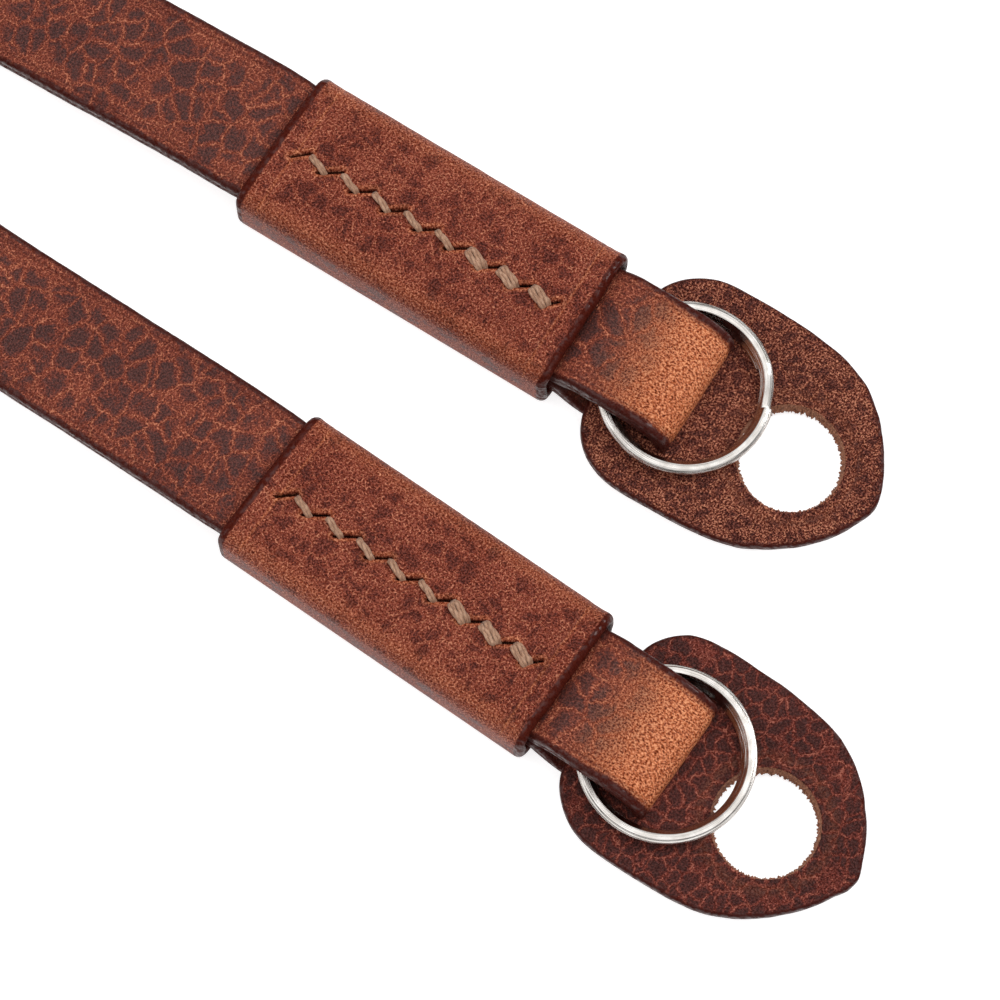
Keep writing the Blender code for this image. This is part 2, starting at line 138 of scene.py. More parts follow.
class Graph:
    """Lays and links the nodes of one procedural material."""

    def __init__(self, name: str) -> None:
        """Starts a material with its Principled shader.

        Args:
            name: Name of the material.
        """
        self.material = bpy.data.materials.new(name)
        self.material.use_nodes = True
        self.tree = self.material.node_tree
        self.shader = self.tree.nodes["Principled BSDF"]

    def add(self, kind: str, **settings: object) -> bpy.types.Node:
        """A new node of a kind, with its settings.

        Args:
            kind: Blender's name for the kind of node.
            **settings: The node's settings by name.

        Returns:
            The new node.
        """
        node = self.tree.nodes.new(kind)
        for name, value in settings.items():
            setattr(node, name, value)
        return node

    def feed(self, socket: Socket, value: object) -> None:
        """Links a socket, or sets it where the value is a plain number or colour.

        Args:
            socket: The input to feed.
            value: A socket, a number or a colour.
        """
        if isinstance(value, bpy.types.NodeSocket):
            self.tree.links.new(value, socket)
        elif isinstance(value, tuple) and len(value) == 3 and socket.type == "RGBA":
            socket.default_value = (*value, 1.0)
        else:
            socket.default_value = value

    def lay(self) -> Socket:
        """The place on the flat hide, in millimetres."""
        return self.add("ShaderNodeUVMap", uv_map="lay").outputs["UV"]

    def mark(self, name: str) -> Socket:
        """A number that the mesh carries at each point."""
        return self.add("ShaderNodeAttribute", attribute_name=name).outputs["Fac"]

    def math(self, operation: str, first: object, second: object = 0.0, clamp: bool = False) -> Socket:
        """The result of one sum.

        Args:
            operation: Blender's name for the sum.
            first: A socket or a number.
            second: Another, where the sum takes two.
            clamp: Whether the result is kept between 0 and 1.

        Returns:
            The result.
        """
        node = self.add("ShaderNodeMath", operation=operation, use_clamp=clamp)
        self.feed(node.inputs[0], first)
        self.feed(node.inputs[1], second)
        return node.outputs[0]

    def step(self, value: Socket, low: float, high: float, start: float = 0.0, stop: float = 1.0) -> Socket:
        """A smooth step of a value from start, at low, to stop, at high.

        Args:
            value: The value to read.
            low: Where the step begins.
            high: Where it ends.
            start: The result at low and below it.
            stop: The result at high and above it.

        Returns:
            The stepped value.
        """
        node = self.add("ShaderNodeMapRange", interpolation_type="SMOOTHSTEP")
        for name, number in (("From Min", low), ("From Max", high), ("To Min", start), ("To Max", stop)):
            node.inputs[name].default_value = number
        self.feed(node.inputs["Value"], value)
        return node.outputs["Result"]

    def mix(self, share: object, first: object, second: object) -> Socket:
        """One colour turned into another by a share.

        Args:
            share: How much of the second colour there is, from 0 to 1.
            first: The first colour, or a socket.
            second: The second colour, or a socket.

        Returns:
            The mixed colour.
        """
        node = self.add("ShaderNodeMix", data_type="RGBA")
        self.feed(node.inputs[0], share)
        self.feed(node.inputs[6], first)
        self.feed(node.inputs[7], second)
        return node.outputs[2]

    def total(self, start: float, *parts: tuple[Socket, float]) -> Socket:
        """A start plus the sum of some values, each times its own weight.

        Args:
            start: What the sum starts from.
            *parts: Each value with its weight.

        Returns:
            The sum.
        """
        value = start
        for part, weight in parts:
            node = self.add("ShaderNodeMath", operation="MULTIPLY_ADD")
            self.feed(node.inputs[0], part)
            self.feed(node.inputs[1], weight)
            self.feed(node.inputs[2], value)
            value = node.outputs[0]
        return value

    def ramp(self, value: Socket, *stops: tuple[float, Colour]) -> Socket:
        """A colour picked by a value from a row of stops.

        Args:
            value: The value that picks the colour, from 0 to 1.
            *stops: Each stop's position and colour, in order.

        Returns:
            The colour.
        """
        node = self.add("ShaderNodeValToRGB")
        colours = node.color_ramp
        for position, _ in stops[1:-1]:
            colours.elements.new(position)
        for element, (position, colour) in zip(colours.elements, stops):
            element.position = position
            element.color = (*colour, 1.0)
        self.feed(node.inputs["Fac"], value)
        return node.outputs["Color"]

    def move(self, place: Socket, scale: tuple[float, float, float]) -> Socket:
        """A place stretched along its axes.

        Args:
            place: The place to stretch.
            scale: How many times, along each axis.

        Returns:
            The stretched place.
        """
        node = self.add("ShaderNodeMapping")
        node.inputs["Scale"].default_value = scale
        self.feed(node.inputs["Vector"], place)
        return node.outputs["Vector"]

    def texture(self, kind: str, place: Socket, size: float, **settings: object) -> bpy.types.Node:
        """A flat texture on a place, whose features lie about one size apart, in millimetres.

        Args:
            kind: Blender's name for the texture's node.
            place: Where the texture is read.
            size: The distance between features, in millimetres.
            **settings: The node's settings by name.

        Returns:
            The texture's node.
        """
        node = self.add(kind, **settings)
        node.inputs["Scale"].default_value = 1 / size
        self.feed(node.inputs["Vector"], place)
        return node

    def clouds(self, place: Socket, size: float, detail: float, roughness: float) -> bpy.types.Node:
        """A flat noise texture.

        Args:
            place: Where the noise is read.
            size: The distance between its crests, in millimetres.
            detail: How many finer layers are added.
            roughness: How strong each finer layer is, beside the one before it.

        Returns:
            The noise's node.
        """
        node = self.texture("ShaderNodeTexNoise", place, size, noise_dimensions="2D")
        node.inputs["Detail"].default_value = detail
        node.inputs["Roughness"].default_value = roughness
        return node

    def noise(self, place: Socket, size: float, detail: float = 2.0, roughness: float = 0.5) -> Socket:
        """Soft noise whose crests lie about one size apart, in millimetres."""
        return self.clouds(place, size, detail, roughness).outputs["Fac"]

    def wander(self, place: Socket, size: float, reach: float) -> Socket:
        """A place pushed about by noise, so that what it draws isn't straight.

        Args:
            place: The place to push.
            size: The distance over which the push changes, in millimetres.
            reach: How far the push goes, in millimetres.

        Returns:
            The pushed place.
        """
        centred = self.add("ShaderNodeVectorMath", operation="SUBTRACT")
        self.feed(centred.inputs[0], self.clouds(place, size, 2.0, 0.5).outputs["Color"])
        centred.inputs[1].default_value = (0.5, 0.5, 0.5)
        pushed = self.add("ShaderNodeVectorMath", operation="MULTIPLY_ADD")
        self.feed(pushed.inputs[0], centred.outputs[0])
        pushed.inputs[1].default_value = (reach, reach, 0.0)
        self.feed(pushed.inputs[2], place)
        return pushed.outputs[0]

    def cells(self, place: Socket, size: float, feature: str) -> Socket:
        """A distance in a pattern of cells, as a share of the cells' size."""
        kind = {"voronoi_dimensions": "2D", "feature": feature}
        return self.texture("ShaderNodeTexVoronoi", place, size, **kind).outputs["Distance"]

    def cracks(self, place: Socket, size: float) -> Socket:
        """The distance to the nearest border of a cell."""
        return self.cells(place, size, "DISTANCE_TO_EDGE")

    def dots(self, place: Socket, size: float) -> Socket:
        """The distance to the nearest dot."""
        return self.cells(place, size, "F1")

    def bump(self, height: Socket, depth: float) -> None:
        """Gives the shader a relief whose full height is depth, in metres.

        Args:
            height: The relief, from 0 to 1.
            depth: Its full height, in metres.
        """
        node = self.add("ShaderNodeBump")
        node.inputs["Distance"].default_value = depth
        self.feed(node.inputs["Height"], height)
        self.feed(self.shader.inputs["Normal"], node.outputs["Normal"])


@dataclass(frozen=True)
class Grain:
    """The sizes of a leather's grain, in millimetres, and how strongly it shows.

    Attributes:
        cell: Size of the large grain cells.
        stretch: How much longer the cells are across the strap than along it.
        vein: Width of the veins between the cells, as a share of a cell.
        vein_share: How strongly the veins show.
        patch: Size of the areas where the tops of the cells are smooth and dark.
        cover: How little of the hide has smooth tops, from 0 to 1.
        tone: How dark the leather is between its tops and its veins, from 0 to 1.
        top_share: How much darker the smooth tops are.
        fine: Size of the fine wrinkles.
        fine_share: How strongly the fine wrinkles show.
        mottle: How strongly the finest specks show.
        pore: Spacing of the pores.
        pore_share: How strongly the pores show.
        relief: Height of the whole relief.
    """

    cell: float
    stretch: float
    vein: float
    vein_share: float
    patch: float
    cover: float
    tone: float
    top_share: float
    fine: float
    fine_share: float
    mottle: float
    pore: float
    pore_share: float
    relief: float


@dataclass(frozen=True)
class Leather:
    """A grained leather, dyed dark and worn to red and orange in its valleys.

    Attributes:
        name: Name of the material.
        slot: The record's material slot.
        ground: Colour of the leather between plateau and vein.
        plateau: Colour of the waxed, smooth tops of the grain.
        vein: Colour of the valleys.
        glint: Colour of the lightest specks.
        grain: Sizes of the grain.
        gloss: How much more the smooth tops shine than the rest.
        stretched: Colour where the leather is pulled round a fold. On the sleeves it is also a painted
            highlight on the lips round the slits.
        taut: Lightest colour where the leather is pulled round a fold, and of that painted highlight.
        burnish: Colour of the rubbed edges.
        flesh: Colour of the flesh side.
        fold_shade: Colour of the shade between the specks of a fold.
        fold_pit: Colour of the pores in a fold.
        slit: Painted shade inside a pricked slit: a near-black colour put where the slit's shadow falls.
    """

    name: str
    slot: str
    ground: Colour
    plateau: Colour
    vein: Colour
    glint: Colour
    grain: Grain
    gloss: float = 0.04
    stretched: Colour = (0.560, 0.145, 0.055)
    taut: Colour = (0.900, 0.370, 0.175)
    burnish: Colour = (0.060, 0.0080, 0.0050)
    flesh: Colour = (0.085, 0.030, 0.016)
    fold_shade: Colour = (0.210, 0.038, 0.012)
    fold_pit: Colour = (0.105, 0.014, 0.003)
    slit: Colour = (0.006, 0.002, 0.001)

    def material(self) -> bpy.types.Material:
        """The leather's nodes.

        Returns:
            The finished material, which reads the marks worn, stretch, burnish, flesh and slit.
        """
        g = Graph(self.name)
        grain = self.grain
        place = g.lay()
        loose = g.wander(g.wander(g.move(place, (1.0, 1 / grain.stretch, 1.0)), 1.5, 1.0), 0.40, 0.36)
        tight = g.wander(place, 0.5, 0.40)
        large = g.cracks(loose, grain.cell)
        speckle = g.noise(place, 0.17, 3.0, 0.72)
        grit = g.step(speckle, 0.38, 0.62)
        stretch = g.mark("stretch")
        burnish = g.mark("burnish")
        rubbed = g.step(g.noise(place, 0.5, 2.0), 0.42, 0.62, 0.0, 0.42)

        worn = g.math("MULTIPLY", g.mark("worn"), 0.22)
        cover = g.math("SUBTRACT", g.noise(loose, grain.patch, 3.0, 0.6), worn)
        smooth = g.step(cover, grain.cover - 0.09, grain.cover + 0.10)
        top = g.math("MULTIPLY", smooth, g.step(large, grain.vein * 0.4, 0.22))
        wrinkle = g.step(g.cracks(tight, grain.fine), 0.0, 0.12, 1.0, 0.0)
        hairline = g.step(g.cracks(tight, grain.fine * 0.5), 0.0, 0.20, 1.0, 0.0)
        broken = g.step(g.noise(place, 1.1, 2.0), 0.36, 0.56, 0.25, 1.0)
        line = g.math("MULTIPLY", g.step(large, 0.0, grain.vein, 1.0, 0.0), broken)
        pores = g.dots(g.move(tight, (0.70, 1.0, 1.0)), grain.pore)
        pit = g.step(pores, 0.08, 0.40, 1.0, 0.0)
        region = g.noise(place, 6.0, 1.0)

        tone = g.total(
            grain.tone + 0.25 * grain.mottle + 0.10,
            (top, grain.top_share),
            (line, -grain.vein_share),
            (g.math("MULTIPLY", wrinkle, g.step(top, 0.0, 1.0, 1.0, 0.7)), -grain.fine_share),
            (hairline, -0.4 * grain.fine_share),
            (grit, -0.50 * grain.mottle),
            (pit, grain.pore_share),
            (region, -0.20),
        )
        deep = tuple(0.45 * channel for channel in self.plateau)
        colour = g.ramp(
            tone,
            (0.0, self.glint),
            (0.16, self.vein),
            (0.38, self.ground),
            (0.70, self.plateau),
            (1.0, deep),
        )
        pulled = g.total(
            0.64,
            (pit, 0.38),
            (pores, -0.24),
            (grit, -0.40),
            (wrinkle, -0.12),
            (region, -0.12),
        )
        taut = g.ramp(
            pulled,
            (0.0, self.taut),
            (0.30, self.stretched),
            (0.62, self.fold_shade),
            (0.92, self.fold_pit),
        )
        colour = g.mix(stretch, colour, taut)
        colour = g.mix(g.mark("flesh"), colour, g.mix(grit, self.flesh, self.ground))
        colour = g.mix(burnish, colour, g.mix(grit, self.burnish, self.plateau))
        # Painted shade: the slit mark darkens the pricked slits to near black, standing in for their shadow.
        colour = g.mix(g.mark("slit"), colour, self.slit)
        g.feed(g.shader.inputs["Base Color"], colour)

        loosened = g.step(stretch, 0.0, 1.0, 1.0, 0.25)
        folds = g.total(0.0, (top, 0.30), (line, -0.8), (wrinkle, -0.8 * grain.fine_share))
        relief = g.total(0.0, (g.math("MULTIPLY", folds, loosened), 1.0), (pit, -0.35), (speckle, 1.1))
        calm = g.step(burnish, 0.0, 1.0, 1.0, 0.75)
        g.bump(g.math("MULTIPLY", relief, calm), grain.relief * MM)

        g.feed(g.shader.inputs["Roughness"], g.step(top, 0.0, 1.0, 0.46, 0.40))
        shine = g.total(0.03, (grit, 0.24), (g.math("MULTIPLY", top, loosened), self.gloss))
        shine = g.math("MULTIPLY", shine, g.step(burnish, 0.0, 1.0, 1.0, 0.15))
        g.feed(g.shader.inputs["Specular IOR Level"], shine)
        g.feed(g.shader.inputs["Coat Weight"], g.math("MULTIPLY", burnish, rubbed, clamp=True))
        g.shader.inputs["Coat Roughness"].default_value = 0.16
        return g.material


STRAP_LEATHER = Leather(
    name="grained_strap_leather",
    slot="strap_leather",
    ground=(0.192, 0.040, 0.023),
    plateau=(0.070, 0.0180, 0.0140),
    vein=(0.360, 0.085, 0.045),
    glint=(0.640, 0.230, 0.125),
    grain=Grain(
        cell=1.95, stretch=1.2, vein=0.034, vein_share=0.34, patch=2.8,
        cover=0.42, tone=0.44, top_share=0.32, fine=0.50, fine_share=0.26,
        mottle=0.66, pore=0.20, pore_share=0.12, relief=0.070,
    ),
    gloss=0.20,
)
SLEEVE_LEATHER = Leather(
    name="grained_sleeve_leather",
    slot="sleeve_leather",
    ground=(0.232, 0.043, 0.023),
    plateau=(0.082, 0.0120, 0.0060),
    vein=(0.410, 0.104, 0.056),
    glint=(0.680, 0.270, 0.150),
    grain=Grain(
        cell=1.9, stretch=1.0, vein=0.026, vein_share=0.20, patch=2.2,
        cover=0.50, tone=0.46, top_share=0.24, fine=0.42, fine_share=0.30,
        mottle=0.76, pore=0.20, pore_share=0.22, relief=0.065,
    ),
)
SPECKLED_TAB_LEATHER = Leather(
    name="grained_tab_leather_speckled",
    slot="tab_leather",
    ground=(0.155, 0.034, 0.019),
    plateau=(0.056, 0.0090, 0.0055),
    vein=(0.350, 0.098, 0.054),
    glint=(0.680, 0.280, 0.160),
    grain=Grain(
        cell=1.4, stretch=1.0, vein=0.040, vein_share=0.14, patch=1.6,
        cover=0.46, tone=0.47, top_share=0.26, fine=0.34, fine_share=0.28,
        mottle=1.35, pore=0.20, pore_share=0.16, relief=0.070,
    ),
)
CRACKLED_TAB_LEATHER = Leather(
    name="grained_tab_leather_crackled",
    slot="tab_leather",
    ground=(0.145, 0.026, 0.017),
    plateau=(0.056, 0.0105, 0.0075),
    vein=(0.290, 0.066, 0.044),
    glint=(0.460, 0.150, 0.100),
    grain=Grain(
        cell=1.25, stretch=1.15, vein=0.040, vein_share=0.48, patch=3.0,
        cover=0.34, tone=0.45, top_share=0.32, fine=0.44, fine_share=0.24,
        mottle=0.70, pore=0.20, pore_share=0.12, relief=0.080,
    ),
    gloss=0.10,
)


@dataclass(frozen=True)
class RawCut:
    """The torn fibres in a punched hole."""

    name: str = "raw_cut"
    slot: str = "tab_leather"

    def material(self) -> bpy.types.Material:
        """Tan, rough leather fibres.

        Returns:
            The finished material.
        """
        g = Graph(self.name)
        fibres = g.noise(g.move(g.lay(), (1.0, 0.35, 1.0)), 0.16, 3.0, 0.7)
        colour = g.mix(g.step(fibres, 0.30, 0.55), (0.130, 0.042, 0.019), (0.340, 0.130, 0.065))
        colour = g.mix(g.step(fibres, 0.58, 0.75), colour, (0.600, 0.320, 0.180))
        g.feed(g.shader.inputs["Base Color"], colour)
        g.shader.inputs["Roughness"].default_value = 0.9
        g.bump(fibres, 0.15 * MM)
        return g.material


@dataclass(frozen=True)
class Thread:
    """Waxed beige sewing thread."""

    name: str = "waxed_thread"
    slot: str = "sleeve_leather"

    def material(self) -> bpy.types.Material:
        """Beige fibres that run along each ply.

        Returns:
            The finished material.
        """
        g = Graph(self.name)
        place = g.lay()
        fibres = g.noise(g.move(place, (0.16, 1.0, 1.0)), 0.055, 2.0, 0.6)
        shade = g.noise(place, 0.6, 2.0)
        colour = g.mix(g.step(fibres, 0.34, 0.62), (0.270, 0.125, 0.070), (0.500, 0.275, 0.165))
        colour = g.mix(g.math("MULTIPLY", g.step(shade, 0.45, 0.70), 0.5), colour, (0.640, 0.400, 0.265))
        g.feed(g.shader.inputs["Base Color"], colour)
        g.shader.inputs["Roughness"].default_value = 0.6
        g.shader.inputs["Sheen Weight"].default_value = 0.2
        g.bump(fibres, 0.05 * MM)
        return g.material


@dataclass(frozen=True)
class Nickel:
    """Bright nickel plate with the faint lines of drawn wire."""

    name: str = "nickel_wire"
    slot: str = "nickel"

    def material(self) -> bpy.types.Material:
        """Polished metal with lines along the wire.

        Returns:
            The finished material.
        """
        g = Graph(self.name)
        place = g.lay()
        drawn = g.noise(g.move(place, (0.012, 1.0, 1.0)), 0.09, 2.0, 0.6)
        smudge = g.noise(place, 1.6, 3.0)
        colour = g.mix(g.step(smudge, 0.35, 0.7), (0.56, 0.525, 0.49), (0.68, 0.65, 0.62))
        g.feed(g.shader.inputs["Base Color"], colour)
        g.shader.inputs["Metallic"].default_value = 1.0
        g.feed(g.shader.inputs["Roughness"], g.step(smudge, 0.3, 0.75, 0.07, 0.15))
        g.bump(drawn, 0.034 * MM)
        return g.material


@dataclass
class Skin:
    """A grid of points that is wrapped into a closed body.

    Attributes:
        points: Places in metres, rows by columns by three.
        lay: Where each point lies on the flat hide, in millimetres, rows by columns by two.
        marks: Named numbers from 0 to 1 at each point, which the finishes read.
    """

    points: np.ndarray
    lay: np.ndarray
    marks: Marks = field(default_factory=dict)

    def wrapped(self, axis: int) -> Skin:
        """The same grid with its first row, or column, repeated after its last.

        Args:
            axis: 0 to repeat the first row, 1 to repeat the first column.

        Returns:
            The closed grid.
        """
        first = (slice(None), slice(0, 1)) if axis else (slice(0, 1),)
        grids = [np.concatenate((grid, grid[first]), axis=axis) for grid in (self.points, self.lay)]
        marks = {name: np.concatenate((mark, mark[first]), axis=axis) for name, mark in self.marks.items()}
        return Skin(*grids, marks)

    def put(self, shape: bmesh.types.BMesh) -> None:
        """Adds the grid to a mesh, with its lay and its marks.

        Args:
            shape: The mesh to add to.
        """
        rows, columns = self.points.shape[:2]
        lay = shape.loops.layers.uv.get("lay") or shape.loops.layers.uv.new("lay")
        for name in self.marks:
            if not shape.verts.layers.float.get(name):
                shape.verts.layers.float.new(name)
        kept = {name: shape.verts.layers.float[name] for name in self.marks}
        made = bmesh.ops.create_grid(shape, x_segments=columns - 1, y_segments=rows - 1, size=1.0)["verts"]
        made = sorted(made, key=lambda v: (round(v.co.y, 6), round(v.co.x, 6)))
        marks = {name: np.broadcast_to(mark, (rows, columns)) for name, mark in self.marks.items()}
        spots = {}
        for index, vertex in enumerate(made):
            spot = divmod(index, columns)
            spots[vertex] = spot
            vertex.co = self.points[spot]
            for name, layer in kept.items():
                vertex[layer] = float(marks[name][spot])
        for vertex in made:
            for loop in vertex.link_loops:
                loop[lay].uv = self.lay[spots[vertex]]


WELD = 1e-7


def close_up(shape: bmesh.types.BMesh) -> None:
    """Welds the seams of wrapped grids, fills their open ends and turns the faces outwards.

    Args:
        shape: The mesh to finish.
    """
    bmesh.ops.remove_doubles(shape, verts=shape.verts, dist=WELD)
    bmesh.ops.dissolve_degenerate(shape, edges=shape.edges, dist=WELD)
    rims = [edge for edge in shape.edges if edge.is_boundary]
    bmesh.ops.holes_fill(shape, edges=rims, sides=0)
    bmesh.ops.recalc_face_normals(shape, faces=shape.faces)


def dress(
    name: str,
    shape: bmesh.types.BMesh,
    finish: Leather | RawCut | Thread | Nickel,
    body: str,
    replaces: tuple[str, ...] = (),
) -> bpy.types.Object:
    """Makes a smooth piece of a mesh, with its finish, its body and the node it stands for.

    Args:
        name: Name of the piece.
        shape: The piece's mesh, which is freed.
        finish: The finish and its material.
        body: The body that the piece rides on.
        replaces: The nodes that the piece stands for.

    Returns:
        The finished piece.
    """
    mesh = bpy.data.meshes.new(name)
    shape.to_mesh(mesh)
    shape.free()
    mesh.shade_smooth()
    mesh.set_sharp_from_angle(angle=math.radians(60))
    mesh.materials.append(bpy.data.materials.get(finish.name) or finish.material())
    piece = bpy.data.objects.new(name, mesh)
    bpy.context.scene.collection.objects.link(piece)
    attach(piece, body)
    if replaces:
        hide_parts(*replaces)
    LOG.info("%s: %d faces", name, len(mesh.polygons))
    return piece


@dataclass(frozen=True)
class End:
    """One end of the strap, placed by its ring's joint.

    Attributes:
        letter: Letter of the end's nodes.
        ring_centre: Centre of the split ring.
        heading: Which way the end points, about +Z.
        lean: How far the ring's axis leans along the heading.
    """

    letter: str
    ring_centre: Vector
    heading: float
    lean: float

    MOUTH_TO_RING_CENTRE = 9.75

    @classmethod
    def from_joint(cls, joint: dict) -> End:
        """Reads an end's place from its ring's joint.

        Args:
            joint: The ring's joint, as the frame gives it.

        Returns:
            The end.
        """
        axis = joint["axis"]
        return cls(
            letter=joint["name"].split("_")[1],
            ring_centre=Vector(joint["pos_m"]),
            heading=math.atan2(axis[1], axis[0]),
            lean=math.asin(math.hypot(axis[0], axis[1])),
        )

    def place(self, x: float, y: float = 0.0, z: float = 0.0) -> Vector:
        """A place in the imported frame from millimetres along, across and up from the sleeve's mouth."""
        return self.matrix() @ Vector((x, y, z))

    def matrix(self) -> Matrix:
        """Turns millimetres from the sleeve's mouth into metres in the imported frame.

        Returns:
            The transform from the end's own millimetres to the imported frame.
        """
        centre = Vector((self.ring_centre.x, self.ring_centre.y, 0))
        turned = Matrix.Translation(centre) @ Matrix.Rotation(self.heading, 4, "Z")
        return turned @ Matrix.Translation((-self.MOUTH_TO_RING_CENTRE * MM, 0, 0)) @ Matrix.Scale(MM, 4)

    def carry(self, points: np.ndarray) -> np.ndarray:
        """Turns a grid of places in millimetres from the sleeve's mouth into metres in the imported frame."""
        matrix = np.array(self.matrix())
        return points @ matrix[:3, :3].T + matrix[:3, 3]


@dataclass
class Heights:
    """Thicknesses and heights that the strap's layers share, in millimetres."""

    strap: float = 2.0
    pared: float = 1.0
    gap: float = 0.3
    wall: float = 0.9
    tab: float = 1.3
    ring_clearance: float = 0.2
    ring: float = 1.46
    ring_radius: float = 7.5

    def tail_mid(self) -> float:
        """Middle of the tail in the sleeve."""
        return self.wall + self.gap + self.strap / 2

    def held_mid(self) -> float:
        """Middle of the upper layer in the sleeve."""
        return self.tail_mid() + self.strap + self.gap

    def sleeve(self) -> float:
        """Height of the sleeve."""
        return self.held_mid() + self.strap / 2 + self.gap + self.wall

    def tab_underside(self) -> float:
        """Underside of the tab where it lies on the pared strap."""
        return self.pared + self.gap

    def over_ring_mid(self, end: End) -> float:
        """Middle of the layer that crosses above the ring."""
        rise = self.ring_radius * math.sin(end.lean)
        return end.ring_centre.z / MM + rise + self.ring / 2 + self.ring_clearance + self.strap / 2


class Station(NamedTuple):
    """One cross-section of the strap: its place, the way its width lies, its size and its pull."""

    place: Vector
    side: Vector
    width: float
    thickness: float
    stretch: float


@dataclass
class Strap:
    """The long strap: its folded ends, and the loop that joins them.

    Sizes are in millimetres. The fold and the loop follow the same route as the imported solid.
    """

    heights: Heights
    ends: tuple[End, End]
    width: float = 11.8
    folded_width: float = 11.1
    trim_run: float = 8.0
    sleeve_length: float = 30.3
    tail_short: float = 1.5
    ramp_in_sleeve: float = 0.6
    ramp_end: float = 2.45
    tail_ramp_end: float = 3.0
    bend_end: float = 11.6
    bend_depth: float = 3.3
    pared_from: float = math.radians(54)
    pared_over: float = math.radians(50)
    pulled_from: float = 0.5
    pulled_past: float = 1.5
    pull_power: float = 1.5
    fades_from: float = math.radians(95)
    fades_over: float = math.radians(40)
    drop_run: float = 38.0
    straight_run: float = 6.0
    handle_share: float = 0.4
    stand_from: float = 0.02
    stand_over: float = 0.5
    fine_step: float = 0.3
    near_step: float = 0.4
    far_step: float = 2.2
    edge_rounding: float = 0.42
    crease_from_edge: float = 0.95
    crease_depth: float = 0.085
    crease_width: float = 0.16
    edge_sag: float = 0.07

    GRAIN_WAVES = ((0.045, 1.4, 3.0), (0.03, 0.7, 8.0))
    CUT_WAVES = ((0.05, 5.0, 1.0), (0.022, 0.8, 2.0))
    RUB_WAVES = ((0.14, 0.6, 4.0), (0.1, 2.2, 6.0))

    def end_stations(self, end: End) -> list[Station]:
        """The stations of one end, from its tail's end to where the strap lies flat.

        Args:
            end: The end to follow.

        Returns:
            The stations in order.
        """
        high = self.heights
        over_ring = high.over_ring_mid(end)
        pared_mid = high.pared / 2
        bend_x = self.bend_end - high.strap / 2 - self.bend_depth
        middle = (over_ring + pared_mid) / 2
        half = (over_ring - pared_mid) / 2
        line = []
        for x in runs(self.tail_short - self.sleeve_length, bend_x, self.fine_step):
            share = ease((x + self.ramp_in_sleeve) / (self.tail_ramp_end + self.ramp_in_sleeve))
            height = blend(high.tail_mid(), pared_mid, share)
            line.append((x, height, blend(high.strap, high.pared, share), 0.0))
        for angle in runs(math.pi, 0.0, math.radians(4.5)):
            x = bend_x + self.bend_depth * math.sin(angle)
            z = middle + half * math.cos(angle)
            thick = blend(high.strap, high.pared, ease((angle - self.pared_from) / self.pared_over))
            faded = ease((angle - self.fades_from) / self.fades_over)
            line.append((x, z, thick, self.pull(x, bend_x) * (1 - faded)))
        for x in runs(bend_x, -self.sleeve_length, self.fine_step):
            share = ease((x + self.ramp_in_sleeve) / (self.ramp_end + self.ramp_in_sleeve))
            height = blend(high.held_mid(), over_ring, share)
            line.append((x, height, high.strap, self.pull(x, bend_x)))
        drop_end = -self.sleeve_length - self.drop_run
        for x in runs(-self.sleeve_length, drop_end, self.near_step):
            share = ease((-self.sleeve_length - x) / self.drop_run)
            line.append((x, blend(high.held_mid(), high.strap / 2, share), high.strap, 0.0))
        side = (end.matrix().to_3x3() @ Vector((0, 1, 0))).normalized()
        return [Station(end.place(x, 0, z), side, self.width_at(x), t, s) for x, z, t, s in line]

    def pull(self, x: float, bend_x: float) -> float:
        """How far the leather is pulled on its way to the fold, from 0 to 1."""
        return ease((x - self.pulled_from) / (bend_x + self.pulled_past)) ** self.pull_power

    def width_at(self, x: float) -> float:
        """The folded end is trimmed a little narrower than the rest."""
        return blend(self.width, self.folded_width, ease((x + self.sleeve_length + 3.0) / self.trim_run))

    def standing(self, place: Vector, heading: Vector, roll: float) -> Station:
        """A station that is rolled from flat to standing on its edge, resting on the surface.

        Args:
            place: The spot on the surface below the strap.
            heading: Which way the strap runs there.
            roll: How far it is rolled on to its edge, in radians.

        Returns:
            The station.
        """
        right = Vector((heading.y, -heading.x, 0)).normalized()
        side = right * math.cos(roll) - Vector((0, 0, 1)) * math.sin(roll)
        height = (self.width * math.sin(roll) + self.heights.strap * math.cos(roll)) / 2 * MM
        return Station(Vector((place.x, place.y, height)), side, self.width, self.heights.strap, 0.0)

    def side_run(self, start: Vector, heading: Vector, turn_edge: Vector) -> list[tuple[Vector, float]]:
        """One side of the loop, from an end's flat strap to the turn.

        Args:
            start: Where the end stops.
            heading: Which way the strap leaves the end.
            turn_edge: Where the round turn starts.

        Returns:
            Places on the surface, each with how far the strap has rolled on to its edge.
        """
        straight_end = start + heading * self.straight_run * MM
        reach = (straight_end - turn_edge).length
        handles = (
            straight_end,
            straight_end + heading * reach * self.handle_share,
            turn_edge + Vector((reach * self.handle_share, 0, 0)),
            turn_edge,
        )
        found = [(start + heading * step * MM, 0.0) for step in runs(0, self.straight_run, self.near_step)]
        for share in runs(0, 1, self.far_step * MM / reach):
            left = 1 - share
            weights = (left**3, 3 * left**2 * share, 3 * left * share**2, share**3)
            place = sum((handle * weight for handle, weight in zip(handles, weights)), Vector())
            found.append((place, math.pi / 2 * ease((share - self.stand_from) / self.stand_over)))
        return found

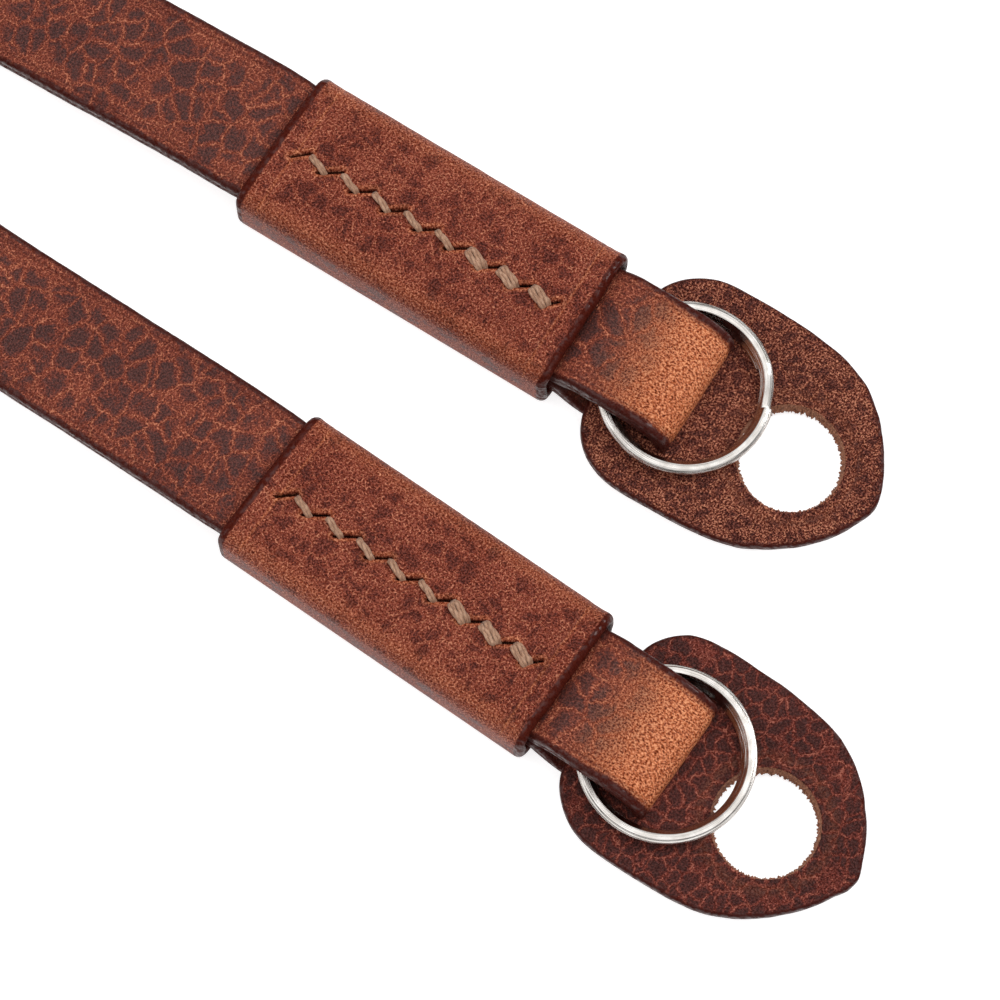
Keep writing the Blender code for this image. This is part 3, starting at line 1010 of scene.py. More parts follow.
    def middle_stations(self) -> list[Station]:
        """The hidden middle of the loop: two sides that stand up, joined by one round turn.

        Returns:
            The stations from the first end round to the second.
        """
        low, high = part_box("strap")
        half_thickness = self.heights.strap * MM / 2
        radius = (high.y - low.y) / 2 - half_thickness
        centre = Vector((low.x + radius + half_thickness, (low.y + high.y) / 2, 0))
        across = Vector((0, radius, 0))
        sides = []
        for end, edge in zip(self.ends, (centre + across, centre - across)):
            start = end.place(-self.sleeve_length - self.drop_run)
            heading = (end.matrix().to_3x3() @ Vector((-1, 0, 0))).normalized()
            sides.append(self.side_run(start, heading, edge))
        turn = []
        for angle in [*runs(math.pi / 2, 3 * math.pi / 2, self.far_step * MM / radius), 3 * math.pi / 2]:
            offset = Vector((math.cos(angle), math.sin(angle), 0)) * radius
            turn.append((centre + offset, math.pi / 2))
        route = sides[0] + turn + sides[1][::-1]
        found = []
        for i, (place, roll) in enumerate(route):
            before = route[max(i - 1, 0)][0]
            after = route[min(i + 1, len(route) - 1)][0]
            found.append(self.standing(place, after - before, roll))
        return found

    def across(self) -> tuple[np.ndarray, np.ndarray, np.ndarray, np.ndarray]:
        """The strap's cross-section, from the middle of the flesh side round to itself.

        Returns:
            For each point: millimetres in from the edge, the share of the half thickness, the
            millimetres that the rounding takes off it, and -1, 0 or 1 on flesh, edge or grain.
        """
        top = [0.55, 0.7, 0.85, 0.95, 1.05, 1.2, 1.5, 1.9, 2.5, 3.2, 4.0, 4.9]
        arc = [math.radians(a) for a in (90, 68, 46, 24, 6)]
        corner = self.edge_rounding
        rows = []
        for inset in (5.9, 4.4, 2.9, 1.6, 0.8):
            rows.append((inset, -1.0, 0.0, -1.0))
        for angle in arc:
            rows.append((corner * (1 - math.cos(angle)), -1.0, corner * (1 - math.sin(angle)), 0.0))
        for share, depth in ((0.5, 0.0), (0.22, 0.01), (0.08, 0.07), (-0.06, 0.01), (-0.45, 0.0)):
            rows.append((depth, -share, 0.0, 0.0))
        for angle in arc[::-1]:
            rows.append((corner * (1 - math.cos(angle)), 1.0, corner * (1 - math.sin(angle)), 0.0))
        for inset in top:
            rows.append((inset, 1.0, 0.0, 1.0))
        half = np.array(rows)
        return half[:, 0], half[:, 1], half[:, 2], half[:, 3]

    def marks(
        self, u: np.ndarray, v: np.ndarray, faces: np.ndarray, from_edge: np.ndarray, folded: np.ndarray
    ) -> Marks:
        """Where the strap is worn, pulled, rubbed and bare.

        Args:
            u: Each point's place along the strap.
            v: Its place across the strap.
            faces: -1, 0 or 1 on flesh, edge or grain.
            from_edge: Its distance from the edge.
            folded: How far the leather is pulled there.

        Returns:
            The marks.
        """
        grain_side = faces > 0.5
        ragged = waves(u, np.sign(v) * 5, 0.0, self.RUB_WAVES)
        burnish = np.clip((0.60 + 0.3 * folded + ragged - from_edge) / 0.30, 0, 1)
        burnish *= np.where(faces < 0, 0.5, 1.0)
        crease = 0.55 * hump(from_edge - self.crease_from_edge, 0.10) * grain_side
        return {
            "worn": np.clip(1 - (from_edge - 0.7) / 1.8, 0, 1) * grain_side,
            "stretch": folded * grain_side * (1 - burnish),
            "burnish": np.maximum(burnish, crease),
            "flesh": np.where(faces < -0.5, 1.0, 0.0),
            "slit": np.zeros_like(v),
        }

    def build(self) -> bpy.types.Object:
        """Lofts the strap through its stations.

        Returns:
            The finished strap.
        """
        stations = self.end_stations(self.ends[0]) + self.middle_stations()
        stations += [s._replace(side=-s.side) for s in self.end_stations(self.ends[1])[::-1]]
        places = np.array([s.place for s in stations])
        sides = np.array([s.side for s in stations])
        half_width = np.array([s.width for s in stations])[:, None] / 2
        half_thick = np.array([s.thickness for s in stations])[:, None] / 2
        tangents = np.gradient(places, axis=0)
        normals = np.cross(sides, tangents)
        normals /= np.linalg.norm(normals, axis=1)[:, None]
        along = np.concatenate(([0.0], np.cumsum(np.linalg.norm(np.diff(places, axis=0), axis=1)))) / MM

        inset, level, drawn, face = self.across()
        squeeze = np.minimum(1.0, half_thick / (2.2 * self.edge_rounding))
        inset_right = np.minimum(inset, half_width - 0.5)
        right = half_width - inset_right * np.where(face == 0, squeeze, 1.0)
        up = level * half_thick - np.sign(level) * drawn * squeeze
        up = np.where(np.abs(level) < 1.0, level * half_thick, up)
        v = np.concatenate((right, np.zeros_like(half_width), -right[:, ::-1]), axis=1)
        crown = np.concatenate((up, half_thick, up[:, ::-1]), axis=1)
        middle = v.shape[1] // 2
        steps = np.hypot(np.diff(v, axis=1), np.diff(crown, axis=1))
        arc_length = np.concatenate((np.zeros_like(half_width), np.cumsum(steps, axis=1)), axis=1)
        arc_length = arc_length[:, middle][:, None] - arc_length
        faces = np.concatenate((face, [1.0], face[::-1]))[None, :] * np.ones_like(v)

        u = along[:, None] * np.ones_like(v)
        grain_side = faces > 0.5
        from_edge = half_width - np.abs(v)
        relief = waves(u, arc_length, 0.0, self.GRAIN_WAVES)
        crease = self.crease_depth * hump(from_edge - self.crease_from_edge, self.crease_width)
        relief -= np.where(grain_side, crease, 0.0)
        relief -= np.where(grain_side, self.edge_sag * (np.abs(v) / half_width) ** 4, 0.0)
        cut = waves(u, np.sign(v) * 9, 0.0, self.CUT_WAVES)
        edge = faces == 0
        up_all = crown + np.where(edge, 0.35, 1.0) * relief * np.where(faces < 0, -0.4, 1.0)
        v_all = v + np.sign(v) * cut * np.clip(1 - from_edge / 1.2, 0, 1)

        off_line = sides[:, None, :] * v_all[..., None] + normals[:, None, :] * up_all[..., None]
        points = places[:, None, :] + off_line * MM
        folded = np.array([s.stretch for s in stations])[:, None]
        marks = self.marks(u, v, faces, from_edge, folded)
        shape = bmesh.new()
        Skin(points, np.stack((u, arc_length), axis=2), marks).wrapped(1).put(shape)
        close_up(shape)
        return dress("long_strap", shape, STRAP_LEATHER, "strap_body", ("strap",))


@dataclass
class Stitching:
    """The zigzag line of pricked slits and slanting threads along a sleeve.

    Sizes are in millimetres from the sleeve's mouth, along and across. A slit runs up and on from its
    start, and a thread crosses down from one slit to the next.
    """

    first: float = -28.9
    pitch: float = 3.12
    slits: int = 9
    doubled: int = 3
    low: float = -1.08
    high: float = 0.10
    slit_run: float = 1.75
    thread_start: tuple[float, float] = (1.52, -0.08)
    thread_stop: tuple[float, float] = (3.82, -0.98)
    lane: float = 0.27
    ply_radius: float = 0.155
    ply_spread: float = 0.165
    twist: float = 0.62
    dive_from: float = 0.62
    dive_depth: float = 0.72
    arch: float = 0.30
    arch_sag: float = 0.35
    pinched: float = 0.30
    bedded: float = 0.12
    ply_rise: float = 0.10
    flattened: float = 0.9
    plies: int = 3
    steps: int = 26
    around: int = 10
    slit_depth: float = 0.55
    slit_width: float = 0.095
    short_share: float = 0.72
    channel_depth: float = 0.10
    channel_middle: float = -0.45
    channel_width: float = 0.85
    lip_height: float = 0.07
    lip_away: float = 0.42
    lip_width: float = 0.20

    def slit_ends(self, index: int) -> tuple[tuple[float, float], tuple[float, float]]:
        """The two ends of one slit. The first and last slits are shorter.

        Args:
            index: Which slit, counted from the strap's side.

        Returns:
            Each end's x and y.
        """
        start = self.first + index * self.pitch
        run = self.slit_run * (self.short_share if index in (0, self.slits - 1) else 1.0)
        shift = self.slit_run - run if index == 0 else 0.0
        return (start + shift, self.low), (start + shift + run, self.high)

    def distance(self, index: int, x: np.ndarray, y: np.ndarray) -> np.ndarray:
        """The distance from points to one slit.

        Args:
            index: Which slit.
            x: Each point's distance along the sleeve, in millimetres.
            y: Its distance across the sleeve.

        Returns:
            Millimetres from each point to the slit.
        """
        (x0, y0), (x1, y1) = self.slit_ends(index)
        dx, dy = x1 - x0, y1 - y0
        share = np.clip(((x - x0) * dx + (y - y0) * dy) / (dx * dx + dy * dy), 0, 1)
        return np.hypot(x - x0 - share * dx, y - y0 - share * dy)

    def nearest(self, x: np.ndarray, y: np.ndarray) -> np.ndarray:
        """The distance from points to the nearest slit."""
        return np.min([self.distance(i, x, y) for i in range(self.slits)], axis=0)

    def sink(self, x: np.ndarray, y: np.ndarray) -> np.ndarray:
        """How far the stitching pulls the leather down, in millimetres.

        Args:
            x: Each point's distance along the sleeve, in millimetres.
            y: Its distance across the sleeve.

        Returns:
            The depth at each point, which is below zero on the raised lips.
        """
        away = self.nearest(x, y)
        inside = (x > self.first - 1) & (x < self.first + self.slits * self.pitch)
        channel = self.channel_depth * hump(y - self.channel_middle, self.channel_width) * inside
        lips = self.lip_height * hump(away - self.lip_away, self.lip_width)
        return channel + self.slit_depth * hump(away, self.slit_width) - lips

    def build(self, end: End, top: float) -> bpy.types.Object:
        """Lays the threads of one sleeve.

        Args:
            end: The end that the sleeve is on.
            top: Height of the sleeve's top, in millimetres.

        Returns:
            The threads, as one piece.
        """
        shape = bmesh.new()
        for index in range(self.slits - 1):
            wide = index >= self.slits - 1 - self.doubled
            self.add_thread(shape, end, top, index, 2 if wide else 1)
        close_up(shape)
        return dress("stitch_threads_" + end.letter, shape, Thread(), "strap_body")

    def add_thread(self, shape: bmesh.types.BMesh, end: End, top: float, index: int, passes: int) -> None:
        """One crossing of the thread: plies that twist round each other and dive at both ends.

        Args:
            shape: The mesh that takes the thread.
            end: The end that the sleeve is on.
            top: Height of the sleeve's top, in millimetres.
            index: Which crossing it is, counted from the strap's side.
            passes: How many times the thread was taken through.
        """
        base = self.first + index * self.pitch
        start = np.array((base + self.thread_start[0], self.thread_start[1]))
        stop = np.array((base + self.thread_stop[0], self.thread_stop[1]))
        line = stop - start
        length = float(np.hypot(*line))
        ahead = line / length
        aside = np.array((-ahead[1], ahead[0]))
        for lane in [0.0] if passes == 1 else [-self.lane, self.lane]:
            for ply in range(self.plies):
                grid = np.zeros((self.steps + 1, self.around + 1, 3))
                lay = np.zeros((self.steps + 1, self.around + 1, 2))
                for i in range(self.steps + 1):
                    share = i / self.steps
                    phase = 2 * math.pi * (ply / self.plies + share * self.twist + index * 0.17 + lane)
                    dive = max(0.0, abs(2 * share - 1) - self.dive_from) / (1 - self.dive_from)
                    arched = math.sqrt(max(0.0, 1 - self.arch_sag * (2 * share - 1) ** 2))
                    lift = self.arch * arched - self.dive_depth * dive**2
                    pinch = 1 - self.pinched * dive
                    centre_side = lane * pinch + self.ply_spread * pinch * math.cos(phase)
                    centre_up = top + lift - self.bedded + self.ply_rise * math.sin(phase) * pinch
                    middle = start + line * share + aside * centre_side
                    radius = self.ply_radius * pinch
                    for j in range(self.around + 1):
                        turn = 2 * math.pi * j / self.around
                        grid[i, j, :2] = middle + aside * radius * math.cos(turn)
                        grid[i, j, 2] = centre_up + radius * self.flattened * math.sin(turn)
                        lay[i, j] = (share * length + index * 4, radius * turn + ply + lane * 4)
                Skin(end.carry(grid), lay).put(shape)


@dataclass
class Sleeve:
    """A leather wrap that holds a folded end, with its rims, creases and stitch line.

    Sizes are in millimetres from the sleeve's mouth, along, across and up. Each rim is a soft ridge,
    given by its height, its distance from its end and its width.
    """

    heights: Heights
    end: End
    stitching: Stitching
    length: float = 30.3
    width: float = 13.5
    shoulder: float = 1.75
    foot: float = 1.3
    crease_from_end: float = 2.1
    mouth_crease: float = 0.12
    far_crease: float = 0.10
    crease_width: float = 0.16
    groove_at: float = 5.05
    groove_depth: float = 0.20
    groove_width: float = 0.50
    crown: float = 0.09
    side_bulge: float = 0.10
    ruffle: float = 0.05
    fade_below: float = 2.6
    far_slant: float = 0.45
    step: float = 0.15
    seed: float = 0.0

    SURFACE_WAVES = ((0.05, 3.5, 1.0), (0.035, 1.1, 2.0))
    MOUTH_WAVES = ((0.16, 3.2, 5.0), (0.05, 0.9, 6.0))
    MOUTH_RIM = (0.17, 0.50, 0.55)
    FAR_RIM = (0.12, 0.45, 0.45)

    def section(self, inward: float) -> tuple[np.ndarray, np.ndarray, np.ndarray]:
        """The wrap's outline, drawn in by a distance, from its bottom middle round to itself.

        Args:
            inward: How far inside the outer face the outline lies.

        Returns:
            Places across, places up, and 1 on the top face.
        """
        half = self.width / 2 - inward
        top = self.heights.sleeve() - inward
        low = inward
        shoulder = max(self.shoulder - inward, 0.35)
        foot = max(self.foot - inward, 0.35)
        right = [(y, low, 0.0) for y in (0.0, 1.5, 3.0, 4.3)]
        for angle in np.radians(np.linspace(-90, 0, 7)):
            right.append((half - foot + foot * math.cos(angle), low + foot + foot * math.sin(angle), 0.0))
        for share in (0.25, 0.5, 0.75):
            right.append((half, blend(low + foot, top - shoulder, share), 0.0))
        for angle in np.radians(np.linspace(0, 90, 13)):
            side = half - shoulder + shoulder * math.cos(angle)
            right.append((side, top - shoulder + shoulder * math.sin(angle), 0.0))
        flat = half - shoulder
        outer = [flat * share for share in (0.95, 0.88, 0.80, 0.72, 0.64, 0.55, 0.47, 0.40)]
        dense = [y for y in np.arange(1.9, 0.05, -0.1)]
        right += [(y, top, 1.0) for y in outer + dense]
        right.append((0.0, top, 1.0))
        left = [(-y, z, flag) for y, z, flag in right[-2::-1]]
        whole = np.array(right + left)
        return whole[:, 0], whole[:, 1], whole[:, 2]

    def rings(self) -> list[tuple[float, float, float]]:
        """The places along the wrap that its mesh goes through: inside, round the mouth, outside and back.

        Returns:
            For each ring: how far along it is, how far inward, and how much of it is cut edge.
        """
        cut = self.heights.wall * 0.7
        found = [(x, self.heights.wall, 0.5) for x in runs(-self.length + cut, -cut, 1.5)]
        middle = self.heights.wall / 2
        for angle in np.radians(np.linspace(-90, 90, 9)):
            x = -cut + cut * math.cos(angle)
            found.append((x, middle - middle * math.sin(angle), 1.0))
        found += [(x, 0.0, 0.0) for x in runs(-cut - self.step, -self.length + cut, self.step)]
        for angle in np.radians(np.linspace(90, 270, 9)):
            x = -self.length + cut + cut * math.cos(angle)
            found.append((x, middle - middle * math.sin(angle), 1.0))
        return found

    def marks(
        self,
        x: np.ndarray,
        y: np.ndarray,
        arc: np.ndarray,
        high: np.ndarray,
        outside: np.ndarray,
        cut: np.ndarray,
        on_top: np.ndarray,
    ) -> Marks:
        """Where the wrap is worn, pulled, rubbed and bare, with a painted highlight on the lips round the
        slits and painted shade inside the pricked slits.

        Args:
            x: Each point's place along the wrap.
            y: Its place across the wrap.
            arc: Its place round the wrap.
            high: How near it is to the top, from 0 to 1.
            outside: 1 on the outer face and 0 on the inner one.
            cut: How much of the point is cut edge.
            on_top: 1 on the flat top.

        Returns:
            The marks.
        """
        from_mouth, from_far = -x, x + self.length
        nearest_end = np.minimum(from_mouth, from_far)
        away = self.stitching.nearest(x, y)
        ragged = 0.12 * ripple(arc, x, 0.7, self.seed + 7.0)
        rim = np.clip((0.80 + ragged - np.minimum(from_mouth, from_far * 1.3)) / 0.30, 0, 1) * 0.9
        seam = 0.35 * hump(from_mouth - self.crease_from_end - 0.22, 0.14) * high
        # Lighter where the leather is pulled over the shoulders (first term) and into the end creases (next
        # line); the second term is a painted highlight on the lips round each slit.
        pull_and_lip_highlight = 0.22 * hump(np.abs(y) - 6.0, 0.8) * high + 0.40 * hump(away - 0.33, 0.16) * on_top
        pull_and_lip_highlight += 0.5 * hump(nearest_end - self.crease_from_end, 0.07) * high
        return {
            "worn": 0.8 * hump(np.abs(y) - 6.2, 1.0) * high,
            "stretch": np.clip(pull_and_lip_highlight, 0, 1) * outside * (1 - cut),
            "burnish": np.clip(np.maximum(np.maximum(cut, rim), seam), 0, 1),
            "flesh": (1 - outside) * np.ones_like(x),
            # Painted shade inside each pricked slit, where its shadow falls.
            "slit": np.clip((0.135 - away) / 0.07, 0, 1) * on_top * outside,
        }

    def build(self) -> bpy.types.Object:
        """Wraps the sleeve round its sections.

        Returns:
            The finished sleeve.
        """
        rows = self.rings()
        x = np.array([row[0] for row in rows])[:, None]
        inward = np.array([row[1] for row in rows])[:, None]
        cut = np.array([row[2] for row in rows])[:, None]
        outlines = [self.section(row[1]) for row in rows]
        y = np.array([outline[0] for outline in outlines])
        z = np.array([outline[1] for outline in outlines])
        on_top = np.array([outline[2] for outline in outlines])
        x = x * np.ones_like(y)
        outside = 1 - inward / self.heights.wall
        steps = np.hypot(np.diff(y, axis=1), np.diff(z, axis=1))
        arc = np.concatenate((np.zeros((len(rows), 1)), np.cumsum(steps, axis=1)), axis=1)
        arc = arc - arc[:, arc.shape[1] // 2][:, None]

        top = self.heights.sleeve()
        high = np.clip((z - top + self.fade_below) / self.fade_below, 0, 1)
        reach = np.hypot(y, z - top / 2)
        out_y, out_z = y / reach, (z - top / 2) / reach
        from_mouth = -x
        from_far = x + self.length
        push = waves(x, arc, self.seed, self.SURFACE_WAVES)
        push += raised(from_mouth, *self.MOUTH_RIM) + raised(from_far, *self.FAR_RIM)
        push -= raised(from_mouth, self.mouth_crease, self.crease_from_end, self.crease_width) * high
        push -= raised(from_far, self.far_crease, self.crease_from_end, self.crease_width) * high
        push += self.ruffle * hump(from_mouth, 0.9) * ripple(x, arc, 0.55, self.seed + 3.0)
        push *= outside * high
        sides = np.clip(1 - high, 0, 1)
        bulge = self.side_bulge * sides * np.clip(z / 2, 0, 1)
        y_all = y + (push + bulge * outside) * out_y
        z_all = z + push * out_z
        groove = raised(np.abs(y), self.groove_depth, self.groove_at, self.groove_width)
        groove += self.crown * (np.abs(y) / 5) ** 2
        sunk = groove + self.stitching.sink(x, y) * on_top
        z_all -= sunk * outside * np.where(z > top / 2, 1.0, 0.0)
        z_all = np.where(z < 0.02, np.maximum(z_all, 0.0), z_all)
        mouth_wave = waves(arc, arc * 0, self.seed, self.MOUTH_WAVES)
        slant = self.far_slant * (0.5 - y / self.width) * np.clip(1 - from_far / 12, 0, 1)
        x_all = x + mouth_wave * np.clip(1 - from_mouth / 2.5, 0, 1) - slant * (z_all > 0.05)
        points = self.end.carry(np.stack((x_all, y_all, z_all), axis=2))

        marks = self.marks(x, y, arc, high, outside, cut, on_top)
        lay = np.stack((x + 200 * (self.seed + 1), arc), axis=2)
        shape = bmesh.new()
        Skin(points, lay, marks).wrapped(0).put(shape)
        close_up(shape)
        letter = self.end.letter
        return dress("sewn_sleeve_" + letter, shape, SLEEVE_LEATHER, "strap_body", ("sleeve_" + letter,))


class TabGrain(Enum):
    """Which hide a tab was cut from."""

    SPECKLED = SPECKLED_TAB_LEATHER
    CRACKLED = CRACKLED_TAB_LEATHER


SPECKLED_TAB_TRIMS = (
    (-157, 0.55), (-147, 0.75), (-127, 0.45), (-108, 0.34), (-89, 0.18), (-81, 0.01), (-66, -0.16),
    (-42, -0.24), (-17, -0.32), (0, -0.22), (8, -0.32), (17, -0.43), (30, -0.45), (48, -0.27),
    (57, -0.09), (65, 0.04), (77, 0.22), (97, 0.19), (112, 0.05), (124, -0.12), (136, -0.10),
    (144, 0.21), (152, 0.42), (165, 0.5),
)
CRACKLED_TAB_TRIMS = (
    (-154, 0.60), (-135, 0.49), (-120, 0.34), (-96, 0.29), (-87, 0.14), (-79, -0.06), (-63, -0.30),
    (-47, -0.48), (-31, -0.55), (-14, -0.58), (-6, -0.27), (2, -0.22), (11, -0.48), (19, -0.58),
    (32, -0.50), (43, -0.44), (51, -0.23), (68, -0.06), (84, 0.07), (100, 0.01), (115, -0.12),
    (128, -0.23), (139, -0.05), (147, 0.48), (155, 0.45), (168, 0.5),
)


@dataclass
class Tab:
    """A guard tab with a slit for the strap and a punched hole whose wall is raw.

    Sizes are in millimetres from the sleeve's mouth, along, across and up. The outline's table holds
    shares of the tab's length and half width, from its back edge to its tip. The trims say how far the
    cut strays from that pattern: degrees round the hole, and millimetres outwards.
    """

    heights: Heights
    end: End
    grain: TabGrain
    aside: float
    hole_along: float
    trims: tuple[tuple[float, float], ...]
    hole_aside: float = -0.3
    back: float = 3.43
    length: float = 25.1
    half_width: float = 10.05
    skew: float = math.radians(1.5)
    slit: tuple[float, float] = (8.83, 10.80)
    slit_half: float = 5.25
    hole_x: float = 20.02
    hole_radius: float = 4.7
    lands_at: float = 0.8
    spokes: int = 420
    rounding: float = 0.42
    bite: float = 0.22
    fibres: int = 150
    seed: int = 1

    SURFACE_WAVES = ((0.05, 3.0, 6.0), (0.03, 1.0, 7.0))
    OUTLINE = (
        (0.000, 0.000),
        (0.002, 0.350),
        (0.018, 0.640),
        (0.085, 0.850),
        (0.190, 0.975),
        (0.360, 1.000),
        (0.540, 0.968),
        (0.700, 0.875),
        (0.845, 0.660),
        (0.955, 0.350),
        (1.000, 0.000),
    )

    def outline(self) -> np.ndarray:
        """The tab's outline as a smooth closed line round its table and the table's mirror image.

        Returns:
            The line's points, along and across the end in millimetres.
        """
        half = [Vector((x * self.length, y * self.half_width)) for x, y in self.OUTLINE]
        points = half + [Vector((p.x, -p.y)) for p in half[-2:0:-1]]
        turn = Matrix.Rotation(self.skew, 2)
        pivot = Vector((sum(self.slit) / 2 - self.back, 0))
        found = []
        for i in range(len(points)):
            before, start, stop, after = (points[(i + k) % len(points)] for k in (-1, 0, 1, 2))
            for share in runs(0, 1, 0.05):
                bend = (2 * before - 5 * start + 4 * stop - after) * share**2
                twist = (3 * start - before - 3 * stop + after) * share**3
                point = (2 * start + (stop - before) * share + bend + twist) / 2
                found.append(turn @ (point - pivot) + pivot + Vector((self.back, self.aside)))
        pivot = np.array((self.hole_x + self.hole_along, self.aside))
        reach = np.array(found) - pivot
        bearing = np.degrees(np.arctan2(reach[:, 1], reach[:, 0]))
        bearings, strays = np.array(self.trims).T
        stray = np.interp(bearing, bearings, strays, period=360)
        return pivot + reach * (1 + stray / np.hypot(*reach.T))[:, None]

    def underside(self, x: np.ndarray) -> np.ndarray:
        """Height of the underside: over the strap at the back, down on the surface at the tip.

        Args:
            x: Each point's distance along the end, in millimetres.

        Returns:
            The height at each point, in millimetres.
        """
        front = self.slit[1]
        landing = self.hole_x + self.lands_at * self.hole_radius
        share = np.clip((x - front) / (landing - front), 0, 1)
        return self.heights.tab_underside() * (1 + np.cos(math.pi * share)) / 2

    def reach(self, centre: np.ndarray) -> tuple[np.ndarray, np.ndarray]:
        """How far the outline lies from the hole along each spoke.

        Args:
            centre: The middle of the hole.

        Returns:
            The spokes' bearings in radians, and their lengths.
        """
        edge = self.outline() - centre
        bearing = np.unwrap(np.arctan2(edge[:, 1], edge[:, 0]))
        order = np.argsort(bearing)
        bearing, distance = bearing[order], np.hypot(*edge.T)[order]
        turns = np.linspace(bearing[0], bearing[0] + 2 * math.pi, self.spokes + 1)
        bearing = np.append(bearing, bearing[0] + 2 * math.pi)
        far = np.interp(turns, bearing, np.append(distance, distance[0]))
        far[-1] = far[0]
        return turns, far + 0.05 * ripple(np.cos(turns) * 14, np.sin(turns) * 14, 2.5, self.seed)

    def profile(self) -> list[tuple[float, float, float, float, float]]:
        """A spoke's path from the hole over the top, round the edge and back along the underside.

        Returns:
            For each point: millimetres out from the hole, millimetres in from the outline, the share
            of the way between the two, the height as a share of the thickness, and 1 in the hole.
        """
        bite, thick = self.bite, self.heights.tab
        top, under = self.rounding, self.rounding * 0.7
        found = []
        for angle in np.radians((0, 30, 60, 90)):
            worn = bite * (1 - math.cos(angle))
            found.append((worn, 0.0, 0.0, 1 - bite * (1 - math.sin(angle)) / thick, float(angle < 1)))
        for share in np.linspace(0.02, 0.97, 34):
            found.append((bite * (1 - share), top * share, share, 1.0, 0.0))
        for angle in np.radians((90, 70, 50, 30, 10)):
            sag = top * (1 - math.sin(angle)) / thick
            found.append((0.0, top * (1 - math.cos(angle)), 1.0, 1 - sag, 0.0))
        for height in (0.62, 0.5, 0.38):
            found.append((0.0, 0.0, 1.0, height, 0.0))
        for angle in np.radians((10, 35, 60, 90)):
            sag = under * (1 - math.sin(angle)) / thick
            found.append((0.0, under * (1 - math.cos(angle)), 1.0, sag, 0.0))
        for share in np.linspace(0.94, 0.04, 12):
            found.append((0.0, under * share, share, 0.0, 0.0))
        for height in (0.0, 0.1, 0.2, 0.32, 0.44, 0.56, 0.68, 0.8):
            found.append((0.0, 0.0, 0.0, height, 1.0))
        return found

    def build(self) -> list[bpy.types.Object]:
        """Builds the tab and the loose fibres in its hole.

        Returns:
            The finished pieces.
        """
        centre = np.array((self.hole_x + self.hole_along, self.aside + self.hole_aside))
        turns, far = self.reach(centre)
        path = np.array(self.profile())
        out, inset, share, height, in_hole = (column[None, :] for column in path.T)
        circle = [30 * np.cos(turns)[:, None], 30 * np.sin(turns)[:, None]]
        torn = 0.20 * ripple(circle[0], circle[1] + height * 3, 1.1, self.seed + 3.0)
        torn += 0.16 * ripple(circle[0], circle[1] + height * 5, 0.4, self.seed + 4.0)
        in_wall = (in_hole > 0) * np.ones_like(torn)
        slope = -0.08 - 0.30 * (1 - height)
        wall = np.clip(torn, -0.30, 0.25) * (1.2 - height) + slope
        near = self.hole_radius + np.where(in_wall > 0, wall, 0.0)
        radius = (near + out) * (1 - share) + (far[:, None] - inset) * share
        x = centre[0] + radius * np.cos(turns)[:, None]
        y = centre[1] + radius * np.sin(turns)[:, None]
        from_edge = far[:, None] - radius
        from_hole = radius - self.hole_radius
        relief = waves(x, y, self.seed, self.SURFACE_WAVES)
        sunk = ((0.12, from_hole - 0.05, 0.35), (0.06, from_hole - 1.0, 0.22), (0.07, from_edge, 0.9))
        relief -= sum(depth * hump(away, width) for depth, away, width in sunk)
        on_top = (height >= 1.0) * np.ones_like(x)
        z = self.underside(x) + height * self.heights.tab + relief * on_top
        points = self.end.carry(np.stack((x, y, z), axis=2))

        marks = self.marks(x, y, height, from_edge, from_hole, in_wall)
        lay = np.stack((x + 100 * self.seed, y + z), axis=2)
        shape = bmesh.new()
        Skin(points, lay, marks).wrapped(1).put(shape)
        close_up(shape)
        self.split_raw(shape)
        letter = self.end.letter
        finish = self.grain.value
        tab = dress("guard_tab_" + letter, shape, finish, "strap_body", ("tab_" + letter,))
        raw = RawCut()
        tab.data.materials.append(bpy.data.materials.get(raw.name) or raw.material())
        self.cut_slit(tab)
        return [tab, self.add_fibres(centre)]

    def marks(
        self,
        x: np.ndarray,
        y: np.ndarray,
        height: np.ndarray,
        from_edge: np.ndarray,
        from_hole: np.ndarray,
        in_wall: np.ndarray,
    ) -> Marks:
        """Where the tab is worn, pulled, rubbed, bare and raw.

        Args:
            x: Each point's place along the tab.
            y: Its place across the tab.
            height: Its height as a share of the thickness.
            from_edge: Its distance from the outline.
            from_hole: Its distance from the hole.
            in_wall: 1 on the wall of the hole.

        Returns:
            The marks.
        """
        on_top = (height >= 1.0) * np.ones_like(x)
        ragged = 0.12 * ripple(x, y, 0.7, self.seed + 9.0)
        burnish = np.clip((0.42 + ragged - from_edge) / 0.28, 0, 1)
        burnish = np.maximum(burnish, 0.75 * on_top * np.clip((0.35 + ragged - from_hole) / 0.3, 0, 1))
        burnish = np.maximum(burnish, 0.45 * on_top * hump(from_hole - 1.0, 0.18))
        below = np.clip(1 - height * 8, 0, 1) * np.clip(from_edge - 0.3, 0, 1)
        return {
            "worn": 0.35 * hump(from_edge - 1.0, 0.5) * on_top,
            "stretch": 0.10 * hump(from_hole - 0.9, 0.4) * on_top,
            "burnish": burnish * (1 - in_wall),
            "flesh": below * (1 - in_wall),
            "slit": np.zeros_like(x),
            "raw": in_wall,
        }

    def split_raw(self, shape: bmesh.types.BMesh) -> None:
        """Gives the wall of the hole the second material.

        Args:
            shape: The tab's mesh.
        """
        raw = shape.verts.layers.float["raw"]
        for face in shape.faces:
            face.material_index = 1 if min(vertex[raw] for vertex in face.verts) > 0.5 else 0

